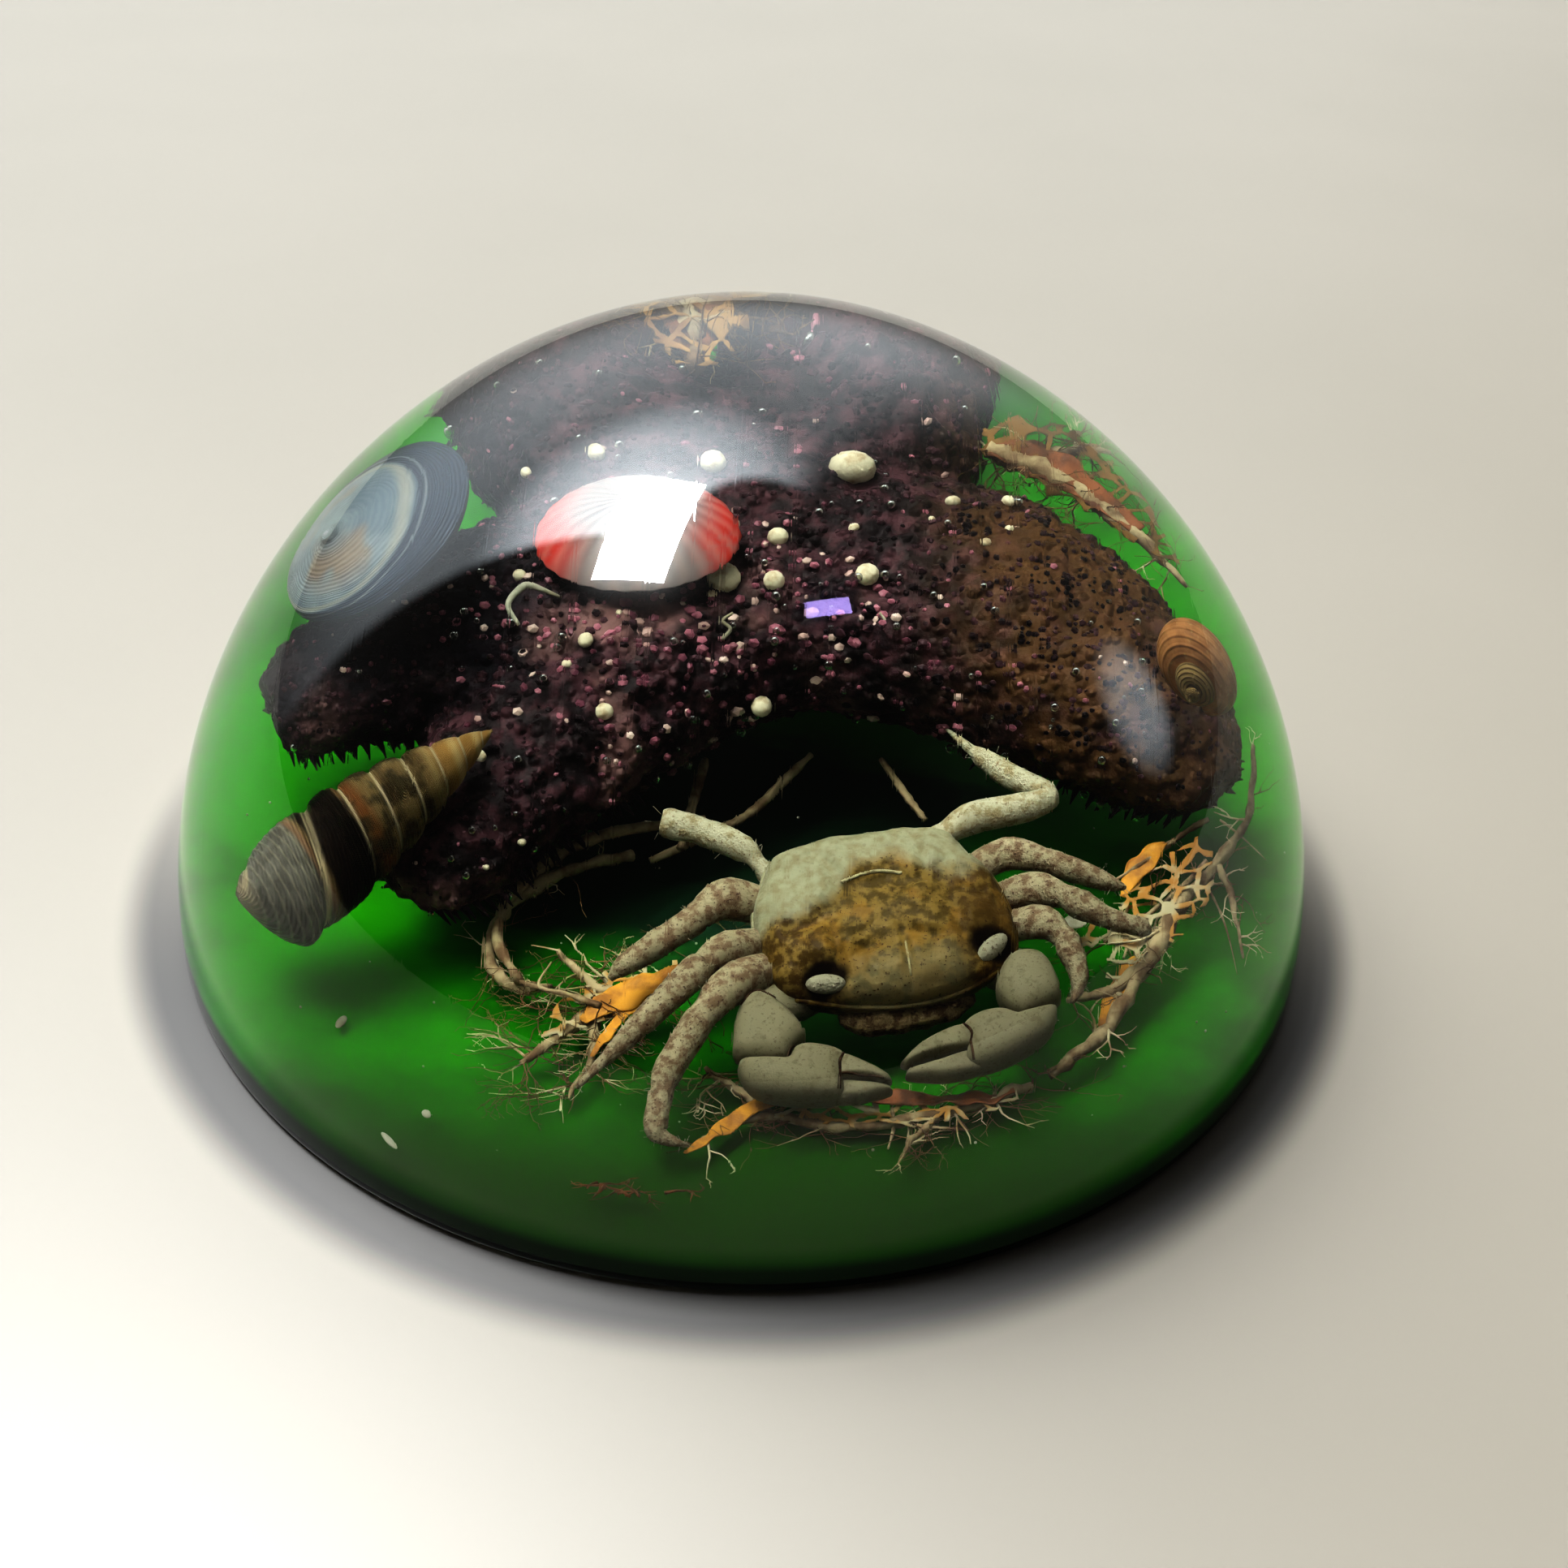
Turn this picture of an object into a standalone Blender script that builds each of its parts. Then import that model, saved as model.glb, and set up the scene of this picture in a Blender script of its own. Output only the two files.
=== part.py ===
"""Dome paperweight of cast resin with a dried starfish, a small crab, shells and seaweed sealed in it.

World units are metres and +Z is up. The origin is the middle of the underside, and the crab faces -Y.
Sizes and places are written in millimetres, and MM turns them into metres where a mesh is made.
"""

import math

import bmesh
import bpy
from mathutils import Matrix, Vector
from mathutils.bvhtree import BVHTree

MM = 0.001

# Casting
DOME_RADIUS = 40.0
DOME_HEIGHT = 40.0
DOME_FULLNESS = 1.858
DOME_SEGMENTS = 44
BASE_THICKNESS = 3.0
BASE_CHAMFER = 0.4
PARTING_HEIGHT = 12.0
FIT_GAP = 0.3

# Room left around the sealed pieces
POCKET_CLEARANCE = 1.5
POCKET_VOXEL = 0.9
POCKET_TRIANGLES = 1000

# Starfish: each arm's middle line as x, y, z and half width, from the disc out to its tip
STARFISH_FLATNESS = 0.72
STARFISH_VOXEL = 1.0
STARFISH_TRIANGLES = 700
STARFISH_MIDDLE = (1.0, 6.4, 13.0)
STARFISH_DISC_HALF = (9.4, 9.4, 5.8)
STARFISH_ARMS = {
    "left": [(0, 6.5, 13.2, 7.4), (-9, 2.8, 13.0, 6.4), (-17, -0.2, 11.8, 5.2), (-22.4, -2.4, 10.6, 4.0),
             (-24.9, -3.4, 9.8, 2.4)],
    "left_front": [(0, 5.0, 13.0, 7.6), (-6.5, -0.8, 12.0, 6.6), (-11.5, -7.0, 10.2, 5.2),
                   (-15.2, -12.0, 8.6, 3.7), (-17.2, -14.8, 7.8, 2.0)],
    "right_front": [(2, 6.0, 13.2, 7.6), (11, 2.8, 12.8, 7.4), (17.6, -1.0, 11.8, 6.4),
                    (22.6, -4.6, 10.4, 4.6), (24.8, -6.8, 9.6, 2.6)],
    "back": [(2, 8, 13.2, 7.4), (3.4, 15, 13.2, 6.8), (4.0, 21, 11.6, 5.6), (4.8, 26, 9.4, 3.6),
             (5.4, 28.6, 8.2, 1.8)],
    "left_back": [(-1, 8, 13.2, 7.4), (-6.4, 13.6, 13.2, 7.0), (-8.6, 18.6, 11.8, 5.8),
                  (-10.0, 23.6, 9.6, 3.9), (-10.8, 26.4, 8.4, 1.9)],
}
SPINES_PER_SIDE = {"left": 8, "left_front": 7, "right_front": 7, "back": 3, "left_back": 3}
SPINE_LENGTH = 1.3
SPINE_WIDTH = 0.7
# Pale tubercles on top as x, y and half width
TUBERCLES = [
    (5.2, 7.2, 1.1), (-1.6, 6.0, 0.9), (3.0, 4.4, 0.7), (1.4, 1.8, 0.7), (6.6, 2.6, 0.8),
    (-8.0, 9.4, 0.7), (9.6, 6.2, 0.6), (-8.6, -0.8, 0.7), (4.0, 13.0, 0.7), (-3.4, 12.6, 0.6),
]

# Crab, in its own frame: x to the viewer's right, y to its back, z up
CRAB_PLACE = (7.6, -18.0, 9.6)
CRAB_TURN = (20.0, -5.0, 12.0)
CARAPACE_HALF = (6.5, 5.2, 2.5)
CRAB_EYES = [(-4.3, -4.0, 0.9), (4.3, -4.0, 0.9)]
EYE_HALF = (1.1, 0.7, 0.7)
# Each leg's joints as x, y, z and half thickness, from the body to the claw or the break
CRAB_LEGS = {
    "left_stump": [(-3.6, 2.6, -1.3, 0.8), (-5.6, 4.2, -0.9, 0.75), (-6.1, 4.9, -0.5, 0.6),
                   (-6.8, 5.4, -0.4, 0.95), (-10.0, 7.6, -0.5, 1.0), (-10.6, 8.0, -0.5, 0.6)],
    "left_front": [(-5.0, 2.2, -1.6, 1.2), (-8.4, 2.2, 0.2, 1.5), (-10.0, 1.4, 0.6, 0.9),
                   (-10.6, 1.1, 0.6, 1.05), (-13.8, -0.4, 0.0, 0.85), (-14.6, -0.8, -0.2, 0.35)],
    "left_middle": [(-5.4, 0.4, -1.4, 1.2), (-8.8, -1.0, 1.0, 1.3), (-10.2, -2.0, 1.5, 0.95),
                    (-10.8, -2.4, 1.6, 1.1), (-14.4, -4.8, 1.2, 0.9), (-15.0, -5.3, 1.0, 0.65),
                    (-17.8, -7.1, 0.4, 0.15)],
    "left_near": [(-5.2, -0.8, -1.4, 1.2), (-8.6, -3.0, 1.0, 1.3), (-10.2, -4.2, 1.4, 0.95),
                  (-10.8, -4.8, 1.4, 1.1), (-13.2, -7.8, 1.0, 1.05), (-13.6, -8.6, 0.8, 0.85),
                  (-14.3, -10.4, 0.5, 0.7), (-13.0, -11.4, 0.1, 0.15)],
    "right_back": [(2.2, 2.8, -1.5, 1.0), (3.4, 4.6, -1.4, 0.8), (4.2, 5.2, -1.3, 1.05),
                   (8.6, 6.2, -1.2, 1.1), (9.4, 6.8, -1.3, 0.75), (8.8, 7.5, -1.5, 0.9),
                   (6.6, 10.6, -2.4, 0.75), (6.3, 11.2, -2.6, 0.5), (5.2, 12.7, -3.0, 0.15)],
    "right_front": [(4.2, 2.4, -1.7, 1.1), (7.2, 2.9, -1.0, 1.25), (8.4, 2.6, -0.8, 0.8),
                    (9.0, 2.4, -0.9, 0.95), (11.6, 1.4, -1.9, 0.65), (12.6, 1.0, -2.4, 0.15)],
    "right_middle": [(4.8, 0.8, -1.7, 1.1), (8.2, -0.2, -0.2, 1.3), (9.4, -0.9, 0.0, 0.85),
                     (10.0, -1.2, 0.0, 1.0), (12.6, -2.5, -0.7, 0.75), (13.4, -3.0, -0.9, 0.3)],
    "right_near": [(5.0, -0.8, -1.5, 1.1), (7.8, -2.4, 0.2, 1.2), (8.5, -3.2, 0.3, 0.8),
                   (8.8, -3.8, 0.3, 0.9), (9.2, -6.2, -0.1, 0.6), (9.0, -7.2, -0.3, 0.15)],
}
# Each claw as its arm's joints, then its palm's middle and turn about z
CRAB_CLAWS = {
    "left_claw": ([(-4.4, -2.4, -1.4, 1.2), (-6.4, -4.6, -0.6, 1.9), (-7.0, -6.0, -0.2, 1.9),
                   (-7.4, -6.9, 0.0, 1.35), (-7.2, -7.6, 0.2, 1.6), (-6.2, -8.6, 0.3, 1.3)],
                  (-4.9, -9.0, 0.3), -8.0),
    "right_claw": ([(4.4, -2.6, -1.4, 1.2), (6.0, -4.0, -0.9, 1.8), (6.8, -5.0, -0.6, 1.7),
                    (7.1, -5.8, -0.4, 1.3), (6.7, -6.4, -0.3, 1.5), (5.6, -7.0, -0.2, 1.2)],
                   (4.0, -7.5, -0.2), 196.0),
}
PALM_HALF = (2.7, 1.6, 1.2)
FINGER_LENGTH = 3.0

# Tall turret shell
HORN_TIP = (-13.2, -10.2, 15.0)
HORN_FOOT = (-27.6, -19.8, 8.6)
HORN_RADIUS = 3.45
HORN_WHORLS = 8
HORN_RINGS = 22
HORN_SEGMENTS = 13
HORN_SHOULDER = 0.82

# Low round shell
BUTTON_PLACE = (-20.4, 1.2, 19.6)
BUTTON_TILT = (4.0, -33.0, 0.0)
BUTTON_RADIUS = 6.2
BUTTON_HEIGHT = 3.2
BUTTON_LEAN = (2.2, 0.6)
BUTTON_SEGMENTS = 18

# Round snail
SNAIL_PLACE = (25.7, -4.6, 18.0)
SNAIL_SIZE = 3.9
SNAIL_TURN = (60.0, -20.0, 20.0)
SNAIL_TURNS = 2.6
SNAIL_CORE_HALF = (1.2, 1.2, 2.4)
SNAIL_TRIANGLES = 320

# Red half shell
VALVE_PLACE = (-6.0, 1.8, 19.0)
VALVE_TURN = (14.0, -6.0, 0.0)
VALVE_HALF = (5.2, 4.2)
VALVE_RISE = 2.0
VALVE_WALL = 0.6
VALVE_SEGMENTS = 16

# Seaweed: main stems first, then their side twigs, as x, y, z and half thickness
SEAWEED = {
    "seaweed_right_stem": [
        [(28.6, -6.4, 13.6, 0.35), (27.9, -8.8, 10.4, 0.45), (24.8, -10.6, 7.4, 0.6), (23.0, -13.0, 6.8, 0.7),
         (21.2, -17.6, 6.0, 0.75), (19.2, -21.8, 5.2, 0.65), (16.4, -24.4, 4.6, 0.5)],
        [(22.4, -14.4, 6.6, 0.5), (20.6, -14.6, 6.0, 0.4), (18.6, -13.6, 5.2, 0.2)],
        [(21.4, -17.2, 6.1, 0.5), (19.0, -18.8, 5.6, 0.45), (17.0, -18.8, 5.2, 0.2)],
        [(25.4, -10.4, 7.8, 0.45), (26.6, -12.0, 6.4, 0.35), (28.0, -15.4, 5.2, 0.15)],
    ],
    "seaweed_front_mat": [
        [(15.6, -25.0, 4.2, 0.45), (12.0, -27.0, 4.2, 0.45), (6.0, -28.4, 4.0, 0.45), (1.4, -27.6, 4.0, 0.4),
         (-1.6, -29.6, 4.0, 0.15)],
        [(10.8, -27.4, 4.2, 0.35), (9.2, -29.6, 4.0, 0.3), (8.8, -31.2, 3.9, 0.15)],
        [(2.2, -27.8, 4.0, 0.35), (0.0, -25.6, 4.2, 0.35), (-1.6, -24.6, 4.6, 0.2)],
    ],
    "seaweed_left_branch": [
        [(1.6, -16.2, 5.4, 0.7), (-1.8, -18.0, 5.4, 0.9), (-5.0, -19.6, 5.2, 0.85), (-8.2, -21.4, 4.8, 0.65),
         (-11.2, -24.6, 4.4, 0.2)],
        [(-5.4, -19.8, 5.2, 0.55), (-7.6, -19.2, 5.6, 0.4), (-9.4, -17.0, 6.0, 0.2)],
        [(-7.4, -21.0, 4.9, 0.45), (-7.6, -24.0, 4.4, 0.3), (-8.8, -26.8, 4.0, 0.15)],
    ],
    "seaweed_loop": [
        [(-5.8, -8.4, 5.4, 0.4), (-9.2, -10.2, 5.6, 0.5), (-12.2, -13.2, 5.2, 0.55), (-12.9, -16.2, 4.6, 0.5),
         (-11.6, -18.0, 4.3, 0.45), (-9.6, -17.9, 4.2, 0.2)],
    ],
    "seaweed_back_tuft": [
        [(-3.0, 15.0, 18.4, 0.5), (-3.0, 17.6, 17.6, 1.0), (-3.0, 20.6, 16.2, 0.9), (-3.2, 23.4, 14.2, 0.3)],
        [(-3.0, 17.8, 17.4, 0.7), (-5.6, 19.4, 17.2, 0.6), (-7.6, 20.4, 16.4, 0.2)],
        [(-3.0, 18.2, 17.2, 0.7), (0.0, 19.6, 17.4, 0.6), (2.0, 21.4, 16.8, 0.2)],
    ],
    "seaweed_back_sprig": [
        [(10.4, 14.6, 13.8, 0.5), (12.4, 13.8, 13.6, 0.7), (15.4, 12.0, 13.4, 0.6), (19.0, 9.4, 13.0, 0.5),
         (22.0, 6.4, 12.8, 0.2)],
        [(12.8, 13.8, 13.5, 0.45), (14.4, 15.4, 12.6, 0.4), (16.2, 16.4, 11.6, 0.15)],
    ],
}
STEPS_PER_STRETCH = 2


def clear_scene():
    for thing in list(bpy.data.objects):
        bpy.data.objects.remove(thing)


def collection(name):
    group = bpy.data.collections.new(name)
    bpy.context.scene.collection.children.link(group)
    return group


def finish(name, colour, roughness, transmission=0.0):
    """A Principled material of the piece's own colour."""
    made = bpy.data.materials.new(name)
    made.use_nodes = True
    shader = made.node_tree.nodes["Principled BSDF"]
    shader.inputs["Base Color"].default_value = (*colour, 1.0)
    shader.inputs["Roughness"].default_value = roughness
    shader.inputs["Transmission Weight"].default_value = transmission
    shader.inputs["IOR"].default_value = 1.49
    return made


def as_object(name, mesh, group):
    made = bpy.data.objects.new(name, mesh)
    group.objects.link(made)
    return made


def evaluated_mesh(thing):
    """The mesh that an object has once its modifiers have run, with its place written into it."""
    graph = bpy.context.evaluated_depsgraph_get()
    graph.update()
    mesh = bpy.data.meshes.new_from_object(thing.evaluated_get(graph))
    mesh.transform(thing.matrix_world)
    return mesh


def bake(thing):
    """Turns the modifiers' result into the object's own mesh."""
    mesh = evaluated_mesh(thing)
    thing.modifiers.clear()
    thing.data = mesh
    thing.matrix_world = Matrix.Identity(4)
    return thing


def smooth_path(points, steps=STEPS_PER_STRETCH):
    """A Catmull-Rom curve through the points; the half thickness runs along as a fourth number."""
    knots = [Vector(point) for point in points]
    knots = [2 * knots[0] - knots[1], *knots, 2 * knots[-1] - knots[-2]]
    path = []
    for before, start, end, after in zip(knots, knots[1:], knots[2:], knots[3:]):
        for step in range(steps):
            t = step / steps
            path.append(0.5 * (2 * start + (end - before) * t
                               + (2 * before - 5 * start + 4 * end - after) * t ** 2
                               + (3 * start - before - 3 * end + after) * t ** 3))
    path.append(knots[-2])
    return path


def tube(name, path, group, sides=1):
    """A closed tube along x, y, z and half thickness, made as a bevelled curve and then a mesh."""
    curve = bpy.data.curves.new(name, "CURVE")
    curve.dimensions = "3D"
    curve.bevel_depth = MM
    curve.bevel_resolution = sides
    curve.use_fill_caps = True
    spline = curve.splines.new("POLY")
    spline.points.add(len(path) - 1)
    for knot, point in zip(spline.points, path):
        knot.co = (point[0] * MM, point[1] * MM, point[2] * MM, 1.0)
        knot.radius = max(point[3], 0.1)
    holder = as_object(name + "_curve", curve, group)
    mesh = evaluated_mesh(holder)
    bpy.data.objects.remove(holder)
    work = bmesh.new()
    work.from_mesh(mesh)
    bmesh.ops.remove_doubles(work, verts=work.verts, dist=1e-6)
    bmesh.ops.recalc_face_normals(work, faces=work.faces)
    work.to_mesh(mesh)
    work.free()
    return as_object(name, mesh, group)


def ball(name, place, half, group, segments=10, rings=6):
    """An ellipsoid with its half sizes in millimetres."""
    mesh = bpy.data.meshes.new(name)
    work = bmesh.new()
    bmesh.ops.create_uvsphere(work, u_segments=segments, v_segments=rings, radius=1.0)
    work.to_mesh(mesh)
    work.free()
    mesh.transform(Matrix.Diagonal((half[0] * MM, half[1] * MM, half[2] * MM, 1.0)))
    mesh.transform(placing(place))
    return as_object(name, mesh, group)


def placing(place, turn=(0, 0, 0)):
    """A move in millimetres after turns in degrees about x, then y, then z."""
    turned = Matrix.Identity(4)
    for angle, axis in zip(turn, "XYZ"):
        turned = Matrix.Rotation(math.radians(angle), 4, axis) @ turned
    return Matrix.Translation(Vector(place) * MM) @ turned


def turned(name, profile, group, steps):
    """A profile of radius and height, outer side first from top to bottom, turned about Z."""
    mesh = bpy.data.meshes.new(name)
    corners = [(radius * MM, 0.0, height * MM) for radius, height in profile]
    mesh.from_pydata(corners, [(i, i + 1) for i in range(len(corners) - 1)], [])
    made = as_object(name, mesh, group)
    screw = made.modifiers.new("turn", "SCREW")
    screw.steps = steps
    screw.render_steps = steps
    screw.use_merge_vertices = True
    screw.merge_threshold = 1e-5
    return made


def fuse(body, pieces, cutters):
    """One closed body from a body and the pieces that grow out of it."""
    group = bpy.data.collections.new(body.name + "_pieces")
    cutters.children.link(group)
    for piece in pieces:
        for owner in list(piece.users_collection):
            owner.objects.unlink(piece)
        group.objects.link(piece)
    union = body.modifiers.new("fuse", "BOOLEAN")
    union.operation = "UNION"
    union.operand_type = "COLLECTION"
    union.collection = group
    union.solver = "EXACT"
    bake(body)
    for piece in pieces:
        bpy.data.objects.remove(piece)
    bpy.data.collections.remove(group)
    return body


def joined(name, pieces, group):
    """Loose bodies in one mesh, ready to be fused by a voxel remesh."""
    work = bmesh.new()
    for piece in pieces:
        work.from_mesh(piece.data)
        bpy.data.objects.remove(piece)
    mesh = bpy.data.meshes.new(name)
    work.to_mesh(mesh)
    work.free()
    return as_object(name, mesh, group)


def melt(thing, voxel, triangles, smoothing=2):
    """Fuses overlapping bodies, softens where they meet, and thins the mesh to a number of triangles."""
    remesh = thing.modifiers.new("melt", "REMESH")
    remesh.mode = "VOXEL"
    remesh.voxel_size = voxel * MM
    soften = thing.modifiers.new("soften", "SMOOTH")
    soften.factor = 0.5
    soften.iterations = smoothing
    bake(thing)
    full = sum(len(face.vertices) - 2 for face in thing.data.polygons)
    thin = thing.modifiers.new("thin", "DECIMATE")
    thin.ratio = min(1.0, triangles / full)
    return bake(thing)


def dome_profile(low, high, steps):
    """The dome's outline from one height down to another."""
    points = []
    start = math.asin(min(1.0, (high / DOME_HEIGHT) ** (DOME_FULLNESS / 2)))
    end = math.asin((low / DOME_HEIGHT) ** (DOME_FULLNESS / 2))
    for step in range(steps + 1):
        angle = start + (end - start) * step / steps
        radius = DOME_RADIUS * max(0.0, math.cos(angle)) ** (2 / DOME_FULLNESS)
        points.append((radius, DOME_HEIGHT * math.sin(angle) ** (2 / DOME_FULLNESS)))
    return points


def green_base(group):
    top = dome_profile(BASE_CHAMFER, BASE_THICKNESS, 1)
    profile = [(0, BASE_THICKNESS), *top, (DOME_RADIUS - BASE_CHAMFER, 0), (0, 0)]
    made = bake(turned("green_base", profile, group, DOME_SEGMENTS))
    made.data.materials.append(finish("green resin", (0.02, 0.2, 0.01), 0.15))
    return made


def resin_halves(pocket, group):
    """The clear dome in an upper and a lower half, each with its side of the pocket."""
    clear = finish("clear resin", (0.9, 0.95, 0.9), 0.03, transmission=1.0)
    floor = BASE_THICKNESS + FIT_GAP
    seam = (PARTING_HEIGHT - FIT_GAP / 2, PARTING_HEIGHT + FIT_GAP / 2)
    outlines = {
        "resin_dome_lower": [(0, seam[0]), *dome_profile(floor, seam[0], 3), (0, floor)],
        "resin_dome_upper": [*dome_profile(seam[1], DOME_HEIGHT, 7), (0, seam[1])],
    }
    halves = []
    for name, outline in outlines.items():
        half = turned(name, outline, group, DOME_SEGMENTS)
        cut = half.modifiers.new("pocket", "BOOLEAN")
        cut.operation = "DIFFERENCE"
        cut.solver = "EXACT"
        cut.object = pocket
        half.data.materials.append(clear)
        halves.append(bake(half))
    return halves


def spike(name, foot, tip, width, group):
    """A three-sided point."""
    mesh = bpy.data.meshes.new(name)
    work = bmesh.new()
    bmesh.ops.create_cone(work, cap_ends=True, segments=3, radius1=width / 2 * MM, radius2=0.05 * MM,
                          depth=(tip - foot).length)
    work.to_mesh(mesh)
    work.free()
    mesh.transform((tip - foot).to_track_quat("Z", "Y").to_matrix().to_4x4())
    mesh.transform(Matrix.Translation((foot + tip) / 2))
    return as_object(name, mesh, group)


def arm_spines(surface, arm, count, group, name):
    """The fringe of short spines along both lower edges of a starfish arm."""
    path = smooth_path(arm, 8)
    first = len(path) // 3
    spines = []
    for number in range(count):
        place = first + round(number * (len(path) - 2 - first) / (count - 1))
        at, along = path[place].xyz, (path[place + 1].xyz - path[place].xyz).normalized()
        for side in (-1, 1):
            out = along.cross(Vector((0, 0, 1))).normalized() * side
            way = (out - Vector((0, 0, 0.55))).normalized()
            skin = surface.ray_cast(at * MM, way)[0]
            if skin is not None:
                foot = skin - way * SPINE_LENGTH * 0.4 * MM
                tip = skin + way * SPINE_LENGTH * MM
                spines.append(spike(f"{name}_spine_{number}_{side}", foot, tip, SPINE_WIDTH, group))
    return spines


def starfish(group, cutters):
    pieces = [ball("disc", STARFISH_MIDDLE, STARFISH_DISC_HALF, group, 24, 12)]
    for name, arm in STARFISH_ARMS.items():
        path = [(x, y, z / STARFISH_FLATNESS, half) for x, y, z, half in smooth_path(arm, 3)]
        piece = tube(name + "_arm", path, group, sides=3)
        piece.data.transform(Matrix.Diagonal((1, 1, STARFISH_FLATNESS, 1)))
        pieces.append(piece)
    body = melt(joined("starfish", pieces, group), STARFISH_VOXEL, STARFISH_TRIANGLES)
    surface = BVHTree.FromPolygons([vertex.co for vertex in body.data.vertices],
                                   [face.vertices for face in body.data.polygons])
    growths = []
    for name, arm in STARFISH_ARMS.items():
        growths += arm_spines(surface, arm, SPINES_PER_SIDE[name], group, name)
    for number, (x, y, half) in enumerate(TUBERCLES):
        top = surface.ray_cast(Vector((x, y, DOME_HEIGHT)) * MM, Vector((0, 0, -1)))[0]
        growths.append(ball(f"tubercle_{number}", top / MM, (half, half, half), group, 6, 4))
    fuse(body, growths, cutters)
    body.data.materials.append(finish("dried starfish", (0.05, 0.02, 0.025), 0.6))
    return body


def carapace(group):
    """A rounded shield, widest before its middle, narrower at the back and flatter below."""
    body = ball("crab", (0, 0, 0), (1, 1, 1), group, 16, 8)
    for vertex in body.data.vertices:
        x, y, z = (math.copysign(abs(part) ** 0.68, part) for part in vertex.co / MM)
        narrowing = 1.0 - 0.22 * max(0.0, y) ** 2 - 0.10 * max(0.0, -y) ** 2
        depth = 1.0 if z > 0 else 0.8
        vertex.co = Vector((x * narrowing * CARAPACE_HALF[0], y * CARAPACE_HALF[1],
                            z * depth * CARAPACE_HALF[2])) * MM
    return body


def claw(name, arm, place, turn, group):
    """Arm, palm and the two closed fingers of one pincer."""
    palm = placing(place, (0, 0, turn))
    pieces = [tube(name + "_arm", arm, group)]
    body = ball(name + "_palm", (0, 0, 0), PALM_HALF, group)
    body.data.transform(palm)
    pieces.append(body)
    start = PALM_HALF[0] * 0.5
    for side in (-1, 1):
        reach = [(start, 0.6 * side, 0, 0.9), (start + FINGER_LENGTH * 0.6, 0.55 * side, 0, 0.62),
                 (start + FINGER_LENGTH, 0.12 * side, 0, 0.15)]
        finger = tube(f"{name}_finger_{side}", reach, group)
        finger.data.transform(palm)
        pieces.append(finger)
    return pieces


def crab(group, cutters):
    body = carapace(group)
    pieces = [ball("underside", (0, -0.4, -1.7), (4.6, 3.6, 1.6), group, 10, 5)]
    for name, joints in CRAB_LEGS.items():
        pieces.append(tube(name, joints, group))
    for name, (arm, place, turn) in CRAB_CLAWS.items():
        pieces += claw(name, arm, place, turn, group)
    for number, place in enumerate(CRAB_EYES):
        pieces.append(ball(f"eye_{number}", place, EYE_HALF, group, 8, 5))
    fuse(body, pieces, cutters)
    body.data.transform(placing(CRAB_PLACE, CRAB_TURN))
    body.data.materials.append(finish("dried crab", (0.55, 0.42, 0.22), 0.5))
    return body


def horn_shell(group):
    """A turret of whorls that wind round a straight cone, with the mouth at its foot."""
    axis = Vector(HORN_FOOT) - Vector(HORN_TIP)
    length = axis.length
    work = bmesh.new()
    rings = []
    for ring in range(HORN_RINGS + 1):
        along = ring / HORN_RINGS
        corners = []
        for segment in range(HORN_SEGMENTS):
            angle = 2 * math.pi * segment / HORN_SEGMENTS
            whorl = (HORN_WHORLS * along ** 0.72 + segment / HORN_SEGMENTS) % 1.0
            bulge = 0.88 + 0.12 * math.sin(math.pi * whorl) ** 0.6
            spread = HORN_RADIUS * math.sin(math.pi * 0.5 * min(1.0, along / HORN_SHOULDER)) ** 0.8
            if along > HORN_SHOULDER:
                spread *= 1.0 - 0.72 * ((along - HORN_SHOULDER) / (1.0 - HORN_SHOULDER)) ** 1.5
            radius = max(0.12, spread * bulge)
            corners.append(work.verts.new((math.cos(angle) * radius * MM, math.sin(angle) * radius * MM,
                                           along * length * MM)))
        rings.append(corners)
    for upper, lower in zip(rings, rings[1:]):
        for i in range(HORN_SEGMENTS):
            j = (i + 1) % HORN_SEGMENTS
            work.faces.new((upper[i], upper[j], lower[j], lower[i]))
    work.faces.new(rings[0])
    work.faces.new(rings[-1])
    bmesh.ops.recalc_face_normals(work, faces=work.faces)
    mesh = bpy.data.meshes.new("horn_shell")
    work.to_mesh(mesh)
    work.free()
    mesh.transform(axis.to_track_quat("Z", "Y").to_matrix().to_4x4())
    mesh.transform(Matrix.Translation(Vector(HORN_TIP) * MM))
    made = as_object("horn_shell", mesh, group)
    made.data.materials.append(finish("banded horn shell", (0.30, 0.22, 0.14), 0.35))
    return made


def button_shell(group):
    """A low round shell with a raised point off its middle and a groove inside its rim."""
    profile = [(0, 1.0), (0.10, 0.96), (0.42, 0.72), (0.72, 0.44), (0.80, 0.34), (0.95, 0.20), (1.0, 0.0),
               (0.86, -0.42), (0.45, -0.62), (0, -0.66)]
    scaled = [(radius * BUTTON_RADIUS, height * BUTTON_HEIGHT) for radius, height in profile]
    made = bake(turned("button_shell", scaled, group, BUTTON_SEGMENTS))
    for vertex in made.data.vertices:
        lift = max(0.0, vertex.co.z / (BUTTON_HEIGHT * MM))
        vertex.co.x -= BUTTON_LEAN[0] * lift * MM
        vertex.co.y -= BUTTON_LEAN[1] * lift * MM
    made.data.transform(placing(BUTTON_PLACE, BUTTON_TILT))
    made.data.materials.append(finish("grey button shell", (0.45, 0.50, 0.55), 0.3))
    return made


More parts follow.
